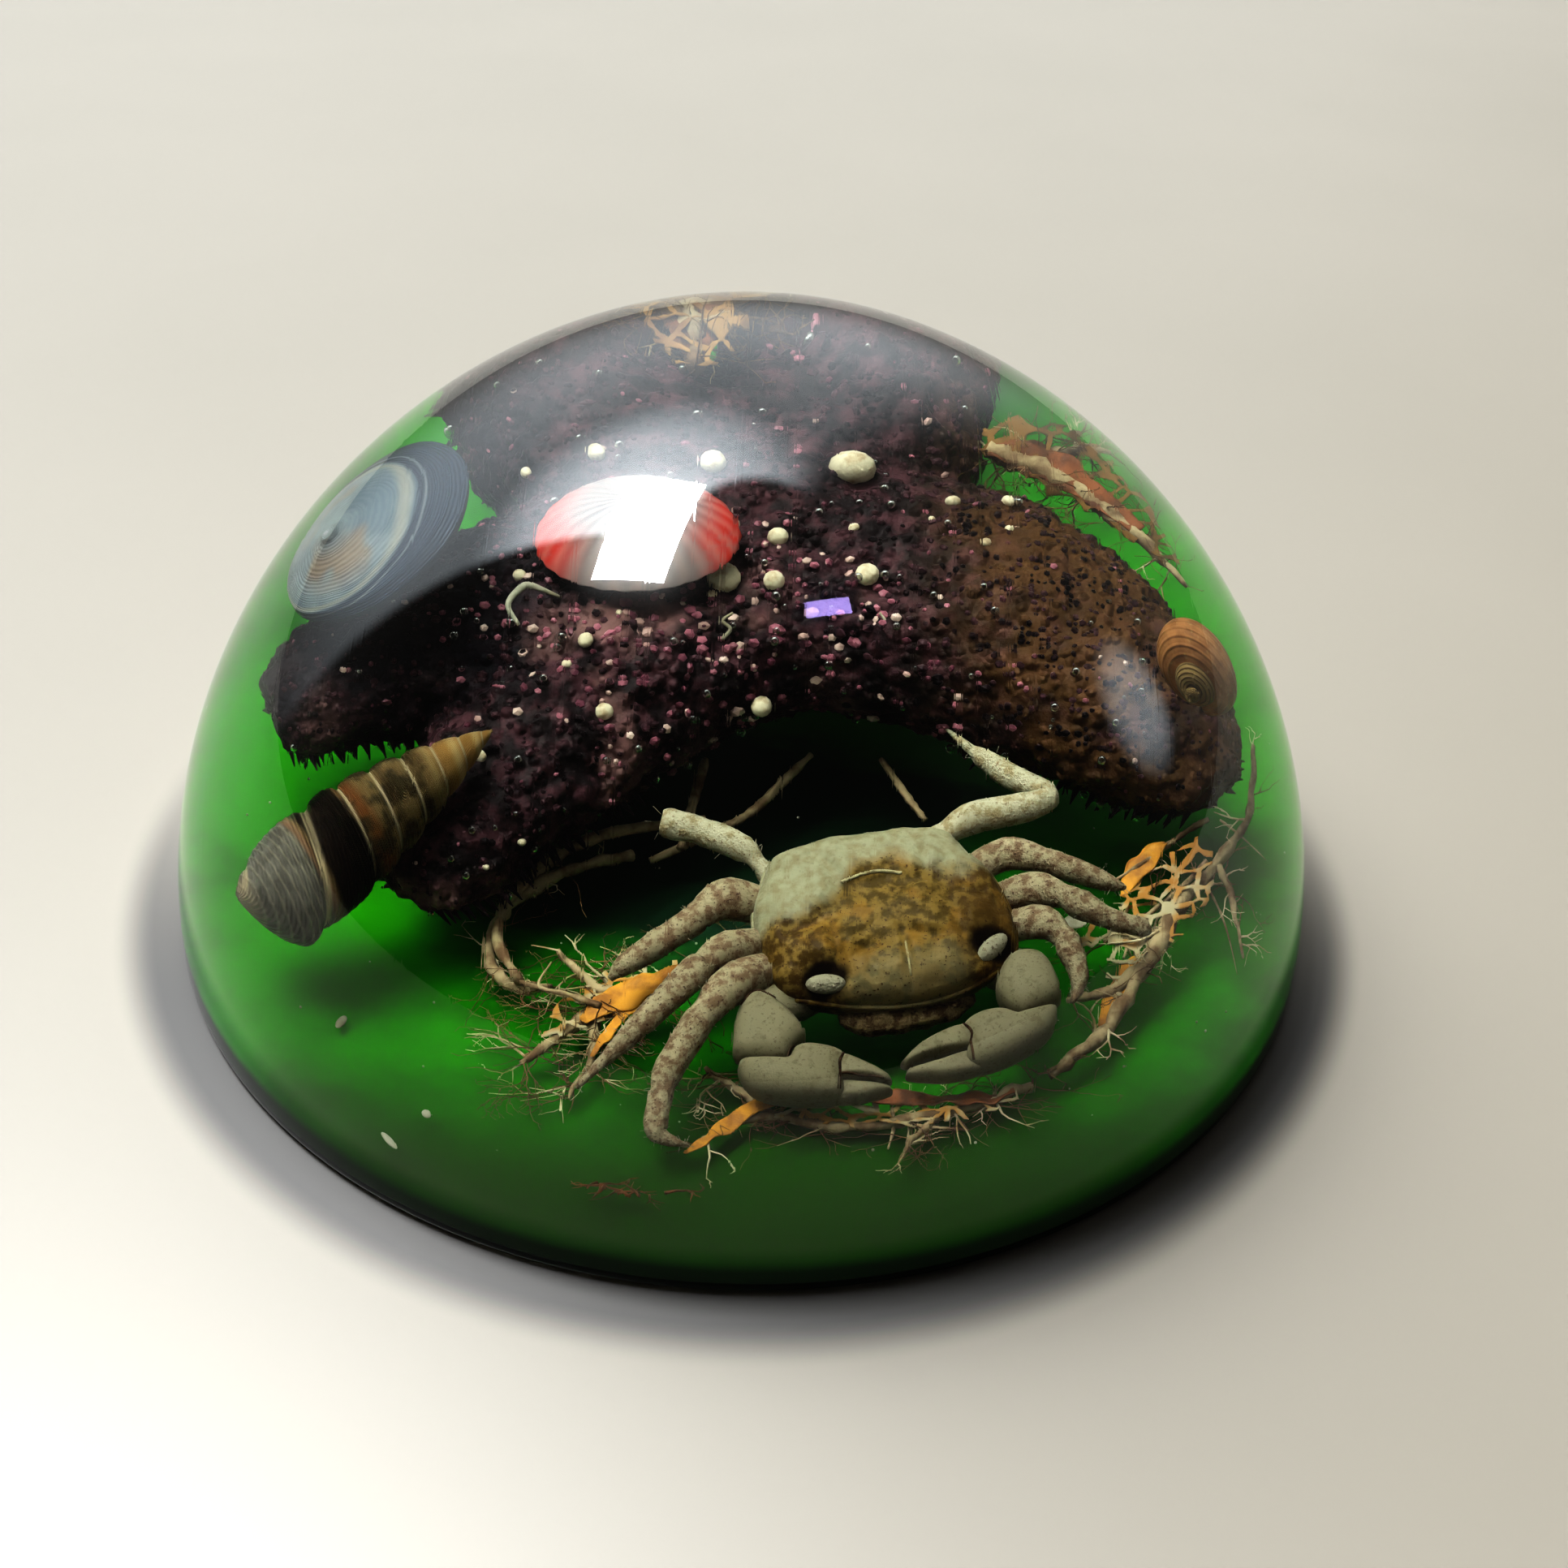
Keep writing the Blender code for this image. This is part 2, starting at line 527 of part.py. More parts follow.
def brown_snail(group):
    """A round snail: one tube that widens as it coils down its spire."""
    steps = 30
    coil = []
    for step in range(steps + 1):
        along = step / steps
        angle = 2 * math.pi * SNAIL_TURNS * along
        growth = 0.16 + 0.84 * along ** 1.8
        reach = 0.50 * growth * SNAIL_SIZE
        height = (0.95 - 1.15 * along ** 1.5) * SNAIL_SIZE
        coil.append((math.cos(angle) * reach, math.sin(angle) * reach, height, 0.62 * growth * SNAIL_SIZE))
    pieces = [tube("coil", coil, group, sides=3),
              ball("core", (0, 0, 0), SNAIL_CORE_HALF, group)]
    made = melt(joined("brown_snail", pieces, group), 0.4, SNAIL_TRIANGLES, smoothing=1)
    made.data.transform(placing(SNAIL_PLACE, SNAIL_TURN))
    made.data.materials.append(finish("brown snail", (0.36, 0.20, 0.06), 0.35))
    return made


def red_shell(group):
    """One shallow valve, its point at the back edge."""
    profile = [(0, 1.0), (0.35, 0.88), (0.68, 0.56), (0.88, 0.26), (1.0, 0.0)]
    made = bake(turned("red_shell", profile, group, VALVE_SEGMENTS))
    for vertex in made.data.vertices:
        x, y, z = vertex.co / MM
        vertex.co = Vector((x * VALVE_HALF[0], (y + 0.45 * z) * VALVE_HALF[1], z * VALVE_RISE)) * MM
    wall = made.modifiers.new("wall", "SOLIDIFY")
    wall.thickness = VALVE_WALL * MM
    wall.offset = -1.0
    bake(made)
    made.data.transform(placing(VALVE_PLACE, VALVE_TURN))
    made.data.materials.append(finish("red valve", (0.6, 0.12, 0.05), 0.4))
    return made


def seaweed(name, branches, group, cutters):
    """One main stem with its side twigs grown into it."""
    stem = tube(name, smooth_path(branches[0]), group)
    twigs = [tube(f"{name}_{number}", smooth_path(branch), group, sides=0)
             for number, branch in enumerate(branches[1:])]
    if twigs:
        fuse(stem, twigs, cutters)
    stem.data.materials.append(finish(name, (0.55, 0.36, 0.12), 0.7))
    return stem


def pocket_cutter(specimens, group):
    """The room of the sealed pieces: copies of them, made thicker all over and melted into one body."""
    copies = []
    for specimen in specimens:
        mesh = specimen.data.copy()
        work = bmesh.new()
        work.from_mesh(mesh)
        bmesh.ops.recalc_face_normals(work, faces=work.faces)
        work.normal_update()
        for vertex in work.verts:
            vertex.co += vertex.normal * POCKET_CLEARANCE * MM
        work.to_mesh(mesh)
        work.free()
        mesh.materials.clear()
        copies.append(as_object(specimen.name + "_room", mesh, group))
    pocket = melt(joined("pocket", copies, group), POCKET_VOXEL, POCKET_TRIANGLES, smoothing=1)
    pocket.hide_render = True
    pocket.display_type = "WIRE"
    return pocket


def main():
    clear_scene()
    parts = collection("sea_life_paperweight")
    cutters = collection("cutters")
    green_base(parts)
    specimens = [starfish(parts, cutters), crab(parts, cutters), horn_shell(parts), button_shell(parts),
                 brown_snail(parts), red_shell(parts)]
    for name, branches in SEAWEED.items():
        specimens.append(seaweed(name, branches, parts, cutters))
    resin_halves(pocket_cutter(specimens, cutters), parts)


main()
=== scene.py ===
# %% [markdown]
# # A dome paperweight with sea life cast in clear resin
# The real object is a half ball of clear resin, about 80 mm across, on a thin layer of green resin.
# A dark starfish, a small crab, four shells and tufts of seaweed are sealed in it.
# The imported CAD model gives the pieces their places; each is modelled again here in its finer form.

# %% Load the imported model
import bisect
import math
import random

import bpy
from mathutils import Matrix, Vector, noise
from mathutils.bvhtree import BVHTree


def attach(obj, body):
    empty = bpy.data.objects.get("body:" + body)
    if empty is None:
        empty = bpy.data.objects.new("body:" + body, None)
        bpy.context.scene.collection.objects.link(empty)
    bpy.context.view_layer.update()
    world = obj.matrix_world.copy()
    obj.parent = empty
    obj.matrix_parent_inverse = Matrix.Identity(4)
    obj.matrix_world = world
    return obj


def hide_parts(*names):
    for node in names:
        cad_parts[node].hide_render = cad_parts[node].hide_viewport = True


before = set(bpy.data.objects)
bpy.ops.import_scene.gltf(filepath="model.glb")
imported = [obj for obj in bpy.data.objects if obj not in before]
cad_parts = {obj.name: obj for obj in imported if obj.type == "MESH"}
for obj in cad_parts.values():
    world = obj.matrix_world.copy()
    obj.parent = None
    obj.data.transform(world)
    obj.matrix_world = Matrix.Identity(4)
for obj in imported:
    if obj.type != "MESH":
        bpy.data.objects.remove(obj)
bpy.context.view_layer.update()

MM = 0.001
print("CAD nodes:", sorted(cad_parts))

# %% [markdown]
# ## The camera
# The photograph was taken with a phone held close, looking down at about 33 degrees. A camera in Blender
# looks along its own -Z, so its three axes are worked out first and then written as the columns of its
# matrix. The focal length is given for a sensor 36 mm wide.

# %% Camera at the photograph's viewing angle
CAMERA_ELEVATION = math.radians(32.757)
CAMERA_PAN = math.radians(1.049)
CAMERA_TILT = math.radians(4.113)
CAMERA_ROLL = math.radians(2.193)
CAMERA_DISTANCE = 116.96
CAMERA_AIM = Vector((0, 0, 16))
FOCAL_PER_FRAME = 2090 / 1932
SENSOR = 36.0


def camera_axes():
    """Rows: the camera's right, up and back directions."""
    sine, cosine = math.sin(CAMERA_ELEVATION), math.cos(CAMERA_ELEVATION)
    level = Matrix(((1, 0, 0), (0, sine, cosine), (0, -cosine, sine)))
    roll = Matrix.Rotation(-CAMERA_ROLL, 3, "Z")
    pan = Matrix.Rotation(CAMERA_PAN, 3, "Y")
    tilt = Matrix.Rotation(CAMERA_TILT, 3, "X")
    return tilt @ pan @ roll @ level, level[2]


rows, back = camera_axes()
bpy.ops.object.camera_add()
camera = bpy.context.object
camera.data.sensor_width = SENSOR
camera.data.lens = SENSOR * FOCAL_PER_FRAME
camera.data.clip_start = 0.001
camera_place = Matrix.Translation((CAMERA_AIM + back * CAMERA_DISTANCE) * MM)
camera.matrix_world = camera_place @ rows.transposed().to_4x4()
bpy.context.scene.camera = camera
bpy.context.scene.view_settings.view_transform = "Standard"
bpy.context.scene.view_settings.look = "High Contrast"
print("camera at", [round(part, 1) for part in camera.location / MM], "mm")

# %% [markdown]
# ## Shader sums as Python
# A pattern is easier to read as a sum than as a row of nodes. `Value` wraps one socket, and each sum on it
# adds a Math node. `Recipe` makes all other nodes with one method: settings first, then the sockets.

# %% Small classes for shader recipes
class Value:
    """One output of a shader node. Sums on it add Math nodes."""

    def __init__(self, recipe, socket):
        self.recipe = recipe
        self.socket = socket

    def maths(self, operation, *parts):
        return self.recipe.node("ShaderNodeMath", {"operation": operation}, dict(enumerate(parts)))

    def __add__(self, other):
        return self.maths("ADD", self, other)

    def __sub__(self, other):
        return self.maths("SUBTRACT", self, other)

    def __rsub__(self, other):
        return self.maths("SUBTRACT", other, self)

    def __mul__(self, other):
        return self.maths("MULTIPLY", self, other)

    def __pow__(self, other):
        return self.maths("POWER", self, other)

    def __abs__(self):
        return self.maths("ABSOLUTE", self)

    __radd__ = __add__
    __rmul__ = __mul__

    def fraction(self):
        return self.maths("FRACT", self)

    def rise(self, low, high):
        """0 below low, 1 above high, and a soft step between."""
        return self.recipe.node("ShaderNodeMapRange", {"interpolation_type": "SMOOTHSTEP"},
                                {"Value": self, "From Min": low, "From Max": high})

    def band(self, middle, half):
        """1 at the middle, 0 further off than half."""
        return 1 - abs(self - middle).rise(0, half)


class Recipe:
    """The nodes of one material or of the world."""

    def __init__(self, tree, shader):
        self.tree = tree
        self.shader = shader

    def node(self, kind, settings=None, sockets=None, output=0):
        made = self.tree.nodes.new(kind)
        for name, setting in (settings or {}).items():
            setattr(made, name, setting)
        for name, value in (sockets or {}).items():
            if isinstance(value, Value):
                self.tree.links.new(value.socket, made.inputs[name])
            else:
                made.inputs[name].default_value = value
        return Value(self, made.outputs[output])

    def feed(self, name, value):
        self.tree.links.new(value.socket, self.shader.inputs[name])

    def where(self, output="Object"):
        return self.node("ShaderNodeTexCoord", output=output)

    def split(self, vector):
        return [self.node("ShaderNodeSeparateXYZ", None, {0: vector}, output) for output in range(3)]

    def stretch(self, vector, scale=(1, 1, 1), turn=(0, 0, 0)):
        return self.node("ShaderNodeMapping", {"vector_type": "POINT"},
                         {"Vector": vector, "Scale": scale,
                          "Rotation": [math.radians(part) for part in turn]})

    def clouds(self, vector, size, detail=3.0, rough=0.55):
        """Noise whose patches are about size millimetres wide."""
        return self.node("ShaderNodeTexNoise", None, {"Vector": vector, "Scale": 1 / (size * MM),
                                                      "Detail": detail, "Roughness": rough})

    def cells(self, vector, size, feature="F1", output="Distance"):
        return self.node("ShaderNodeTexVoronoi", {"feature": feature},
                         {"Vector": vector, "Scale": 1 / (size * MM)}, output)

    def mix(self, factor, first, second):
        """A colour between two colours, each a triple or a Value."""
        parts = {0: factor}
        for place, colour in ((6, first), (7, second)):
            parts[place] = colour if isinstance(colour, Value) else (*colour, 1.0)
        return self.node("ShaderNodeMix", {"data_type": "RGBA"}, parts, 2)

    def bump(self, height, depth):
        """A Bump node; depth is how far, in millimetres, a height of 1 stands out."""
        self.feed("Normal", self.node("ShaderNodeBump", None, {"Height": height, "Distance": depth * MM}))


# Resin bends light as much as a specimen's own surface, so what is sealed in it hardly shines
SEALED_SHINE = 0.05


def finish(name, roughness, **fixed):
    """A new Principled material; a fixed socket's name is written with _ for each space."""
    made = bpy.data.materials.new(name)
    made.use_nodes = True
    shader = made.node_tree.nodes["Principled BSDF"]
    shader.inputs["Roughness"].default_value = roughness
    shader.inputs["Specular IOR Level"].default_value = SEALED_SHINE
    for socket, value in fixed.items():
        shader.inputs[socket.replace("_", " ")].default_value = value
    return made, Recipe(made.node_tree, shader)


# %% [markdown]
# ## Modelling helpers
# Most specimens are skins round a middle line: legs, arms, stems and fibres. A bevelled curve is the
# quickest way to such a skin, and `convert` turns it into a mesh. Shells are grids rolled into a form, so
# that their own UV map tells how far along and how far around each point lies.

# %% Helpers for meshes
def only(*things):
    """Selects these objects alone and makes the last one active."""
    bpy.ops.object.select_all(action="DESELECT")
    for thing in things:
        thing.select_set(True)
    bpy.context.view_layer.objects.active = things[-1]


def settle(thing):
    """Applies the modifiers and writes the object's place into its mesh."""
    only(thing)
    for modifier in list(thing.modifiers):
        bpy.ops.object.modifier_apply(modifier=modifier.name)
    bpy.ops.object.transform_apply(location=True, rotation=True, scale=True)
    return thing


def edit(thing, *steps):
    """Runs edit mode operators on the whole mesh."""
    only(thing)
    bpy.ops.object.mode_set(mode="EDIT")
    bpy.ops.mesh.select_all(action="SELECT")
    for step in steps:
        step()
    bpy.ops.object.mode_set(mode="OBJECT")
    return thing


def together(name, things):
    """Joins the things into one piece."""
    only(*things)
    bpy.ops.object.join()
    joined = bpy.context.object
    joined.name = name
    return joined


def smooth(thing, angle=None):
    """Smooth shading, all over or up to an angle in degrees."""
    only(thing)
    if angle:
        bpy.ops.object.shade_smooth_by_angle(angle=math.radians(angle))
    else:
        bpy.ops.object.shade_smooth()
    return thing


def placing(place, turn=(0, 0, 0)):
    """A move in millimetres after turns in degrees about x, then y, then z."""
    turned = Matrix.Identity(4)
    for angle, axis in zip(turn, "XYZ"):
        turned = Matrix.Rotation(math.radians(angle), 4, axis) @ turned
    return Matrix.Translation(Vector(place) * MM) @ turned


def ball(name, place, half, segments=32, rings=16):
    """A ball stretched to three half widths."""
    bpy.ops.object.select_all(action="DESELECT")
    bpy.ops.mesh.primitive_uv_sphere_add(segments=segments, ring_count=rings, radius=MM)
    made = bpy.context.object
    made.name = name
    made.scale = half
    made.location = Vector(place) * MM
    return settle(made)


def smooth_path(points, steps):
    """A Catmull-Rom curve through the points; the half thickness runs along as a fourth number."""
    knots = [Vector(point) for point in points]
    knots = [2 * knots[0] - knots[1], *knots, 2 * knots[-1] - knots[-2]]
    path = []
    for before, start, end, after in zip(knots, knots[1:], knots[2:], knots[3:]):
        for step in range(steps):
            t = step / steps
            path.append(0.5 * (2 * start + (end - before) * t
                               + (2 * before - 5 * start + 4 * end - after) * t ** 2
                               + (3 * start - before - 3 * end + after) * t ** 3))
    path.append(knots[-2])
    return path


def strands(name, paths, sides=1, thick=1.0, flat=0.0):
    """Closed tubes along paths of x, y, z and half thickness; flat makes them ribbons with a thick edge."""
    curve = bpy.data.curves.new(name, "CURVE")
    curve.dimensions = "3D"
    curve.bevel_depth = thick * MM
    curve.extrude = flat * MM
    curve.bevel_resolution = sides
    curve.use_fill_caps = True
    for path in paths:
        spline = curve.splines.new("POLY")
        spline.points.add(len(path) - 1)
        for knot, point in zip(spline.points, path):
            knot.co = (point[0] * MM, point[1] * MM, point[2] * MM, 1.0)
            knot.radius = max(point[3], 0.02)
            if len(point) > 4:
                knot.tilt = point[4]
    made = bpy.data.objects.new(name, curve)
    bpy.context.scene.collection.objects.link(made)
    only(made)
    bpy.ops.object.convert(target="MESH")
    made = bpy.context.object
    return edit(made, lambda: bpy.ops.mesh.remove_doubles(threshold=1e-6),
                lambda: bpy.ops.mesh.normals_make_consistent(inside=False))


def rolled(name, along_steps, around_steps, form):
    """A grid wrapped into a closed skin. form(along, around) gives each corner, both running from 0 to 1."""
    bpy.ops.object.select_all(action="DESELECT")
    bpy.ops.mesh.primitive_grid_add(x_subdivisions=along_steps, y_subdivisions=around_steps, size=1)
    made = bpy.context.object
    made.name = name
    for vertex in made.data.vertices:
        vertex.co = Vector(form(vertex.co.x + 0.5, vertex.co.y + 0.5)) * MM
    return edit(made, lambda: bpy.ops.mesh.remove_doubles(threshold=2e-6),
                lambda: bpy.ops.mesh.fill_holes(sides=0),
                lambda: bpy.ops.mesh.normals_make_consistent(inside=False))


def template(kind, **size):
    """The corners and faces of a small primitive, for shapes that are repeated hundreds of times."""
    bpy.ops.object.select_all(action="DESELECT")
    kind(**size)
    made = bpy.context.object
    corners = [vertex.co.copy() for vertex in made.data.vertices]
    faces = [tuple(face.vertices) for face in made.data.polygons]
    bpy.data.objects.remove(made)
    return corners, faces


def many(name, shape, moves, paints=None):
    """One mesh of a small shape at each move, a matrix; paints gives each copy's material number."""
    corners, faces = shape
    points, sides, slots = [], [], []
    for number, move in enumerate(moves):
        first = len(points)
        points += [move @ corner for corner in corners]
        sides += [[first + corner for corner in face] for face in faces]
        slots += [paints[number] if paints else 0] * len(faces)
    mesh = bpy.data.meshes.new(name)
    mesh.from_pydata(points, [], sides)
    mesh.polygons.foreach_set("material_index", slots)
    made = bpy.data.objects.new(name, mesh)
    bpy.context.scene.collection.objects.link(made)
    return made


def at(place, normal=(0, 0, 1), size=(1, 1, 1)):
    """The matrix of a copy at a place in metres, with its Z along a normal and a size in millimetres."""
    turn = Vector(normal).to_track_quat("Z", "Y").to_matrix().to_4x4()
    return Matrix.Translation(place) @ turn @ Matrix.Diagonal((*(part * MM for part in size), 1))


def clothe(thing, *materials):
    for material in materials:
        thing.data.materials.append(material)
    return thing


def hand_over(piece, slot, *nodes):
    """Makes the finished piece stand for its CAD nodes and ride on the paperweight's one body."""
    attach(piece, "root")
    if nodes:
        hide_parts(*nodes)
    faces = sum(len(face.vertices) - 2 for face in piece.data.polygons)
    print(piece.name, faces, "triangles")


def surface_of(thing):
    mesh = thing.data
    return BVHTree.FromPolygons([vertex.co for vertex in mesh.vertices],
                                [face.vertices for face in mesh.polygons])


# %% [markdown]
# ## The clear dome
# The resin was poured into a mould that is slightly flatter than a half ball. A UV sphere is cut at its
# middle, and each corner is pushed out to the mould's outline, a superellipse. The clear body reaches down
# round the green layer, so the outside is one unbroken face with no line, as on the real one.

# %% Clear dome
DOME_RADIUS = 40.0
DOME_HEIGHT = 40.0
DOME_FULLNESS = 1.858
DOME_SEGMENTS = 224
DOME_RINGS = 128
CLEAR_FOOT = 0.2
RIM_BEVEL = 0.35
RESIN_IOR = 1.49


def dome_radius(height):
    """The outline's radius at a height, in millimetres."""
    share = max(0.0, 1 - (max(height, 0.0) / DOME_HEIGHT) ** DOME_FULLNESS)
    return DOME_RADIUS * share ** (1 / DOME_FULLNESS)


def cut_half():
    bpy.ops.mesh.bisect(plane_co=(0, 0, 0), plane_no=(0, 0, 1), clear_inner=True, threshold=1e-4)


def close_foot():
    bpy.ops.mesh.select_all(action="DESELECT")
    bpy.ops.mesh.select_non_manifold()
    bpy.ops.mesh.edge_face_add()
    bpy.ops.mesh.bevel(offset=RIM_BEVEL * MM, segments=5, affect="EDGES")


bpy.ops.object.select_all(action="DESELECT")
bpy.ops.mesh.primitive_uv_sphere_add(segments=DOME_SEGMENTS, ring_count=DOME_RINGS, radius=1)
dome = bpy.context.object
dome.name = "clear_dome"
edit(dome, cut_half)
for vertex in dome.data.vertices:
    reach = math.hypot(vertex.co.x, vertex.co.y)
    spread = DOME_RADIUS * reach ** (2 / DOME_FULLNESS) / max(reach, 1e-9)
    height = max(CLEAR_FOOT, DOME_HEIGHT * max(0.0, vertex.co.z) ** (2 / DOME_FULLNESS))
    vertex.co = Vector((vertex.co.x * spread, vertex.co.y * spread, height)) * MM
edit(dome, close_foot)
smooth(dome, 40)

clear_resin, recipe = finish("clear resin", 0.015, Base_Color=(0.50, 0.53, 0.47, 1),
                             Transmission_Weight=1.0,
                             IOR=RESIN_IOR, Specular_IOR_Level=0.5, Coat_Roughness=0.16, Coat_IOR=1.5)
where = recipe.where()
scratches = 0
for angle, size in ((28, 0.5), (-34, 0.6), (65, 0.45)):
    line = recipe.clouds(recipe.stretch(where, (1, 0.03, 0.05), (0, 0, angle)), size, 2.0)
    scratches = line.rise(0.62, 0.72) + scratches
waves = recipe.clouds(where, 9.0, 1.0)
recipe.bump(scratches * 0.10 + waves, 0.012)
recipe.feed("Coat Weight", recipe.clouds(where, 14.0, 4.0).rise(0.3, 0.75) * 0.05 + 0.02)
clothe(dome, clear_resin)

# %% [markdown]
# ## The green layer
# The real base was poured last, onto the set clear resin, and coloured with a strong transparent green.
# It reads as deep green that glows where light falls through the dome. It is rolled from a grid whose
# rings run across the top, down the thin rim and back below, so the top can carry the faint waves that
# two pours leave between them. Its glow is colour here, since nothing shines through the table, and so is
# its shade: darker streaks, a painted shadow under the starfish, and painted shade towards the front and
# at the rim.

# %% Green layer
GREEN_RADIUS = 39.72
GREEN_THICKNESS = 3.0
GREEN_WAVE = 0.12
GREEN_SLOPE = 26.0
GREEN_EDGE = 0.8


def green_form(along, around):
    """Out over the top from its middle, down a slope to the thin rim, and back under it."""
    top, side = 0.80, 0.85
    angle = 2 * math.pi * around
    if along <= top:
        radius = GREEN_RADIUS * along / top
        spot = Vector((math.cos(angle) * radius, math.sin(angle) * radius, 0)) / 11
        fall = max(0.0, (radius - GREEN_SLOPE) / (GREEN_RADIUS - GREEN_SLOPE)) ** 2.4
        height = GREEN_THICKNESS - fall * (GREEN_THICKNESS - GREEN_EDGE) + noise.noise(spot) * GREEN_WAVE
    elif along <= side:
        share = (along - top) / (side - top)
        radius, height = GREEN_RADIUS - 0.12 * share, GREEN_EDGE * (1 - 0.55 * share)
    else:
        radius, height = (GREEN_RADIUS - 0.4) * (1 - along) / (1 - side), 0.0
    return math.cos(angle) * radius, math.sin(angle) * radius, height


green = rolled("green_layer", 60, 192, green_form)
smooth(green, 40)

green_resin, recipe = finish("green resin", 0.35)
where = recipe.where()
x, y, z = recipe.split(where)
# A random mix of a bright green, the glow painted as colour, and a darker green, painted shade in streaks
shade_streaks = recipe.clouds(recipe.stretch(where, (1, 1.8, 1), (0, 0, 24)), 16.0, 5.0).rise(0.38, 0.68)
front = (y * -1).rise(20 * MM, 33 * MM)
colour = recipe.mix(shade_streaks, (0.013, 0.185, 0.001), (0.007, 0.085, 0.002))
# Painted shadow: the green is darkened under the starfish, where its shade falls on the layer
starfish_shadow = (x * x + (y + 5 * MM) * (y + 5 * MM) * 1.6) ** 0.5 + (shade_streaks - 0.5) * (6 * MM)
colour = recipe.mix(starfish_shadow.rise(9 * MM, 17 * MM), (0.006, 0.021, 0.010), colour)
# Painted shade: darker green towards the front of the layer, away from the light
colour = recipe.mix(front, colour, (0.010, 0.050, 0.003))
# Painted shade: near black green over the last millimetre at the rim
colour = recipe.mix((x * x + y * y).rise((37.8 * MM) ** 2, (38.9 * MM) ** 2), colour, (0.004, 0.012, 0.003))
recipe.feed("Base Color", colour)
recipe.bump(recipe.clouds(where, 6.0, 3.0), 0.05)
clothe(green, green_resin)
hand_over(green, "green_resin", "green_base")

# %% [markdown]
# ## The starfish
# A dried starfish is one thick skin covered in granules. Its arms are bevelled curves and its middle is a
# ball; a voxel remesh melts them into one skin, and two Displace modifiers give it the leathery relief.
# The granules, the fringe of spines and the pale tubercles are small shapes, copied hundreds of times and
# seated on the skin.

# %% Starfish skin
STAR_FLATNESS = 0.72
STAR_MIDDLE = (1.0, 6.4, 13.0)
STAR_DISC_HALF = (9.4, 9.4, 5.8)
STAR_ARMS = {
    "left": [(0, 6.5, 13.2, 7.4), (-9, 2.8, 13.0, 6.4), (-17, -0.2, 11.8, 5.2), (-22.4, -2.4, 10.6, 4.0),
             (-24.9, -3.4, 9.8, 2.4)],
    "left_front": [(0, 5.0, 13.0, 7.6), (-6.5, -0.8, 12.0, 6.6), (-11.5, -7.0, 10.2, 5.2),
                   (-15.2, -12.0, 8.6, 3.7), (-17.2, -14.8, 7.8, 2.0)],
    "right_front": [(2, 6.0, 13.2, 7.6), (11, 2.8, 12.8, 7.4), (17.6, -1.0, 11.8, 6.4),
                    (22.6, -4.6, 10.4, 4.6), (24.8, -6.8, 9.6, 2.6)],
    "back": [(2, 8, 13.2, 7.4), (3.4, 15, 13.2, 6.8), (4.0, 21, 11.6, 5.6), (4.8, 26, 9.4, 3.6),
             (5.4, 28.6, 8.2, 1.8)],
    "left_back": [(-1, 8, 13.2, 7.4), (-6.4, 13.6, 13.2, 7.0), (-8.6, 18.6, 11.8, 5.8),
                  (-10.0, 23.6, 9.6, 3.9), (-10.8, 26.4, 8.4, 1.9)],
}
STAR_VOXEL = 0.36


def relief(thing, kind, size, depth):
    """A Displace modifier with one of Blender's own textures, its patches about size millimetres."""
    texture = bpy.data.textures.new(kind.lower(), kind)
    texture.noise_scale = size * MM
    made = thing.modifiers.new(kind.lower(), "DISPLACE")
    made.texture = texture
    made.texture_coords = "LOCAL"
    made.strength = depth * MM
    made.mid_level = 0.5


parts = [ball("disc", STAR_MIDDLE, STAR_DISC_HALF, 48, 24)]
for name, arm in STAR_ARMS.items():
    path = [(x, y, z / STAR_FLATNESS, half) for x, y, z, half in smooth_path(arm, 6)]
    limb = strands(name, [path], sides=8)
    limb.scale.z = STAR_FLATNESS
    parts.append(settle(limb))
star = together("dark_starfish", parts)
remesh = star.modifiers.new("melt", "REMESH")
remesh.mode = "VOXEL"
remesh.voxel_size = STAR_VOXEL * MM
soften = star.modifiers.new("soften", "SMOOTH")
soften.factor = 0.5
soften.iterations = 8
relief(star, "CLOUDS", 2.4, 1.15)
relief(star, "VORONOI", 0.9, -0.6)
settle(star)
smooth(star)
star_skin = surface_of(star)
print("starfish skin", len(star.data.polygons), "faces")

# %% Granules, spines and tubercles
CRUMBS = 4300
FRONT_FACE = Vector((-2.0, -2.0, 13.0))
FRINGE_STEP = 0.62
FRINGE_LENGTH = 1.25
TUBERCLES = [
    (4.5, 8.6, 19, 1.15), (-1.9, 0.0, 18.4, 0.9), (-1.9, 3.5, 19, 0.5), (1.1, 2.6, 18.5, 0.55),
    (1.2, 0.0, 18, 0.6), (5.6, 0.4, 18, 0.65), (4.8, 3.4, 18.5, 0.3), (-9.0, -4.3, 17.5, 0.45),
    (-2.4, 8.3, 19, 0.7), (-7.1, -7.7, 15, 0.5), (1.8, -6.7, 14, 0.6), (-8.0, 9.4, 18, 0.5),
    (9.6, 6.2, 18, 0.4),
]
draw = random.Random(11)
crumb = template(bpy.ops.mesh.primitive_ico_sphere_add, subdivisions=1, radius=1)
pea = template(bpy.ops.mesh.primitive_ico_sphere_add, subdivisions=2, radius=1)
thorn = template(bpy.ops.mesh.primitive_cone_add, vertices=5, radius1=1, radius2=0.12, depth=2)
mesh = star.data
chosen = draw.choices(mesh.polygons, weights=[face.area * (0.15 + max(0.0, face.normal.z + 0.35))
                                             for face in mesh.polygons], k=CRUMBS)
moves, paints = [], []
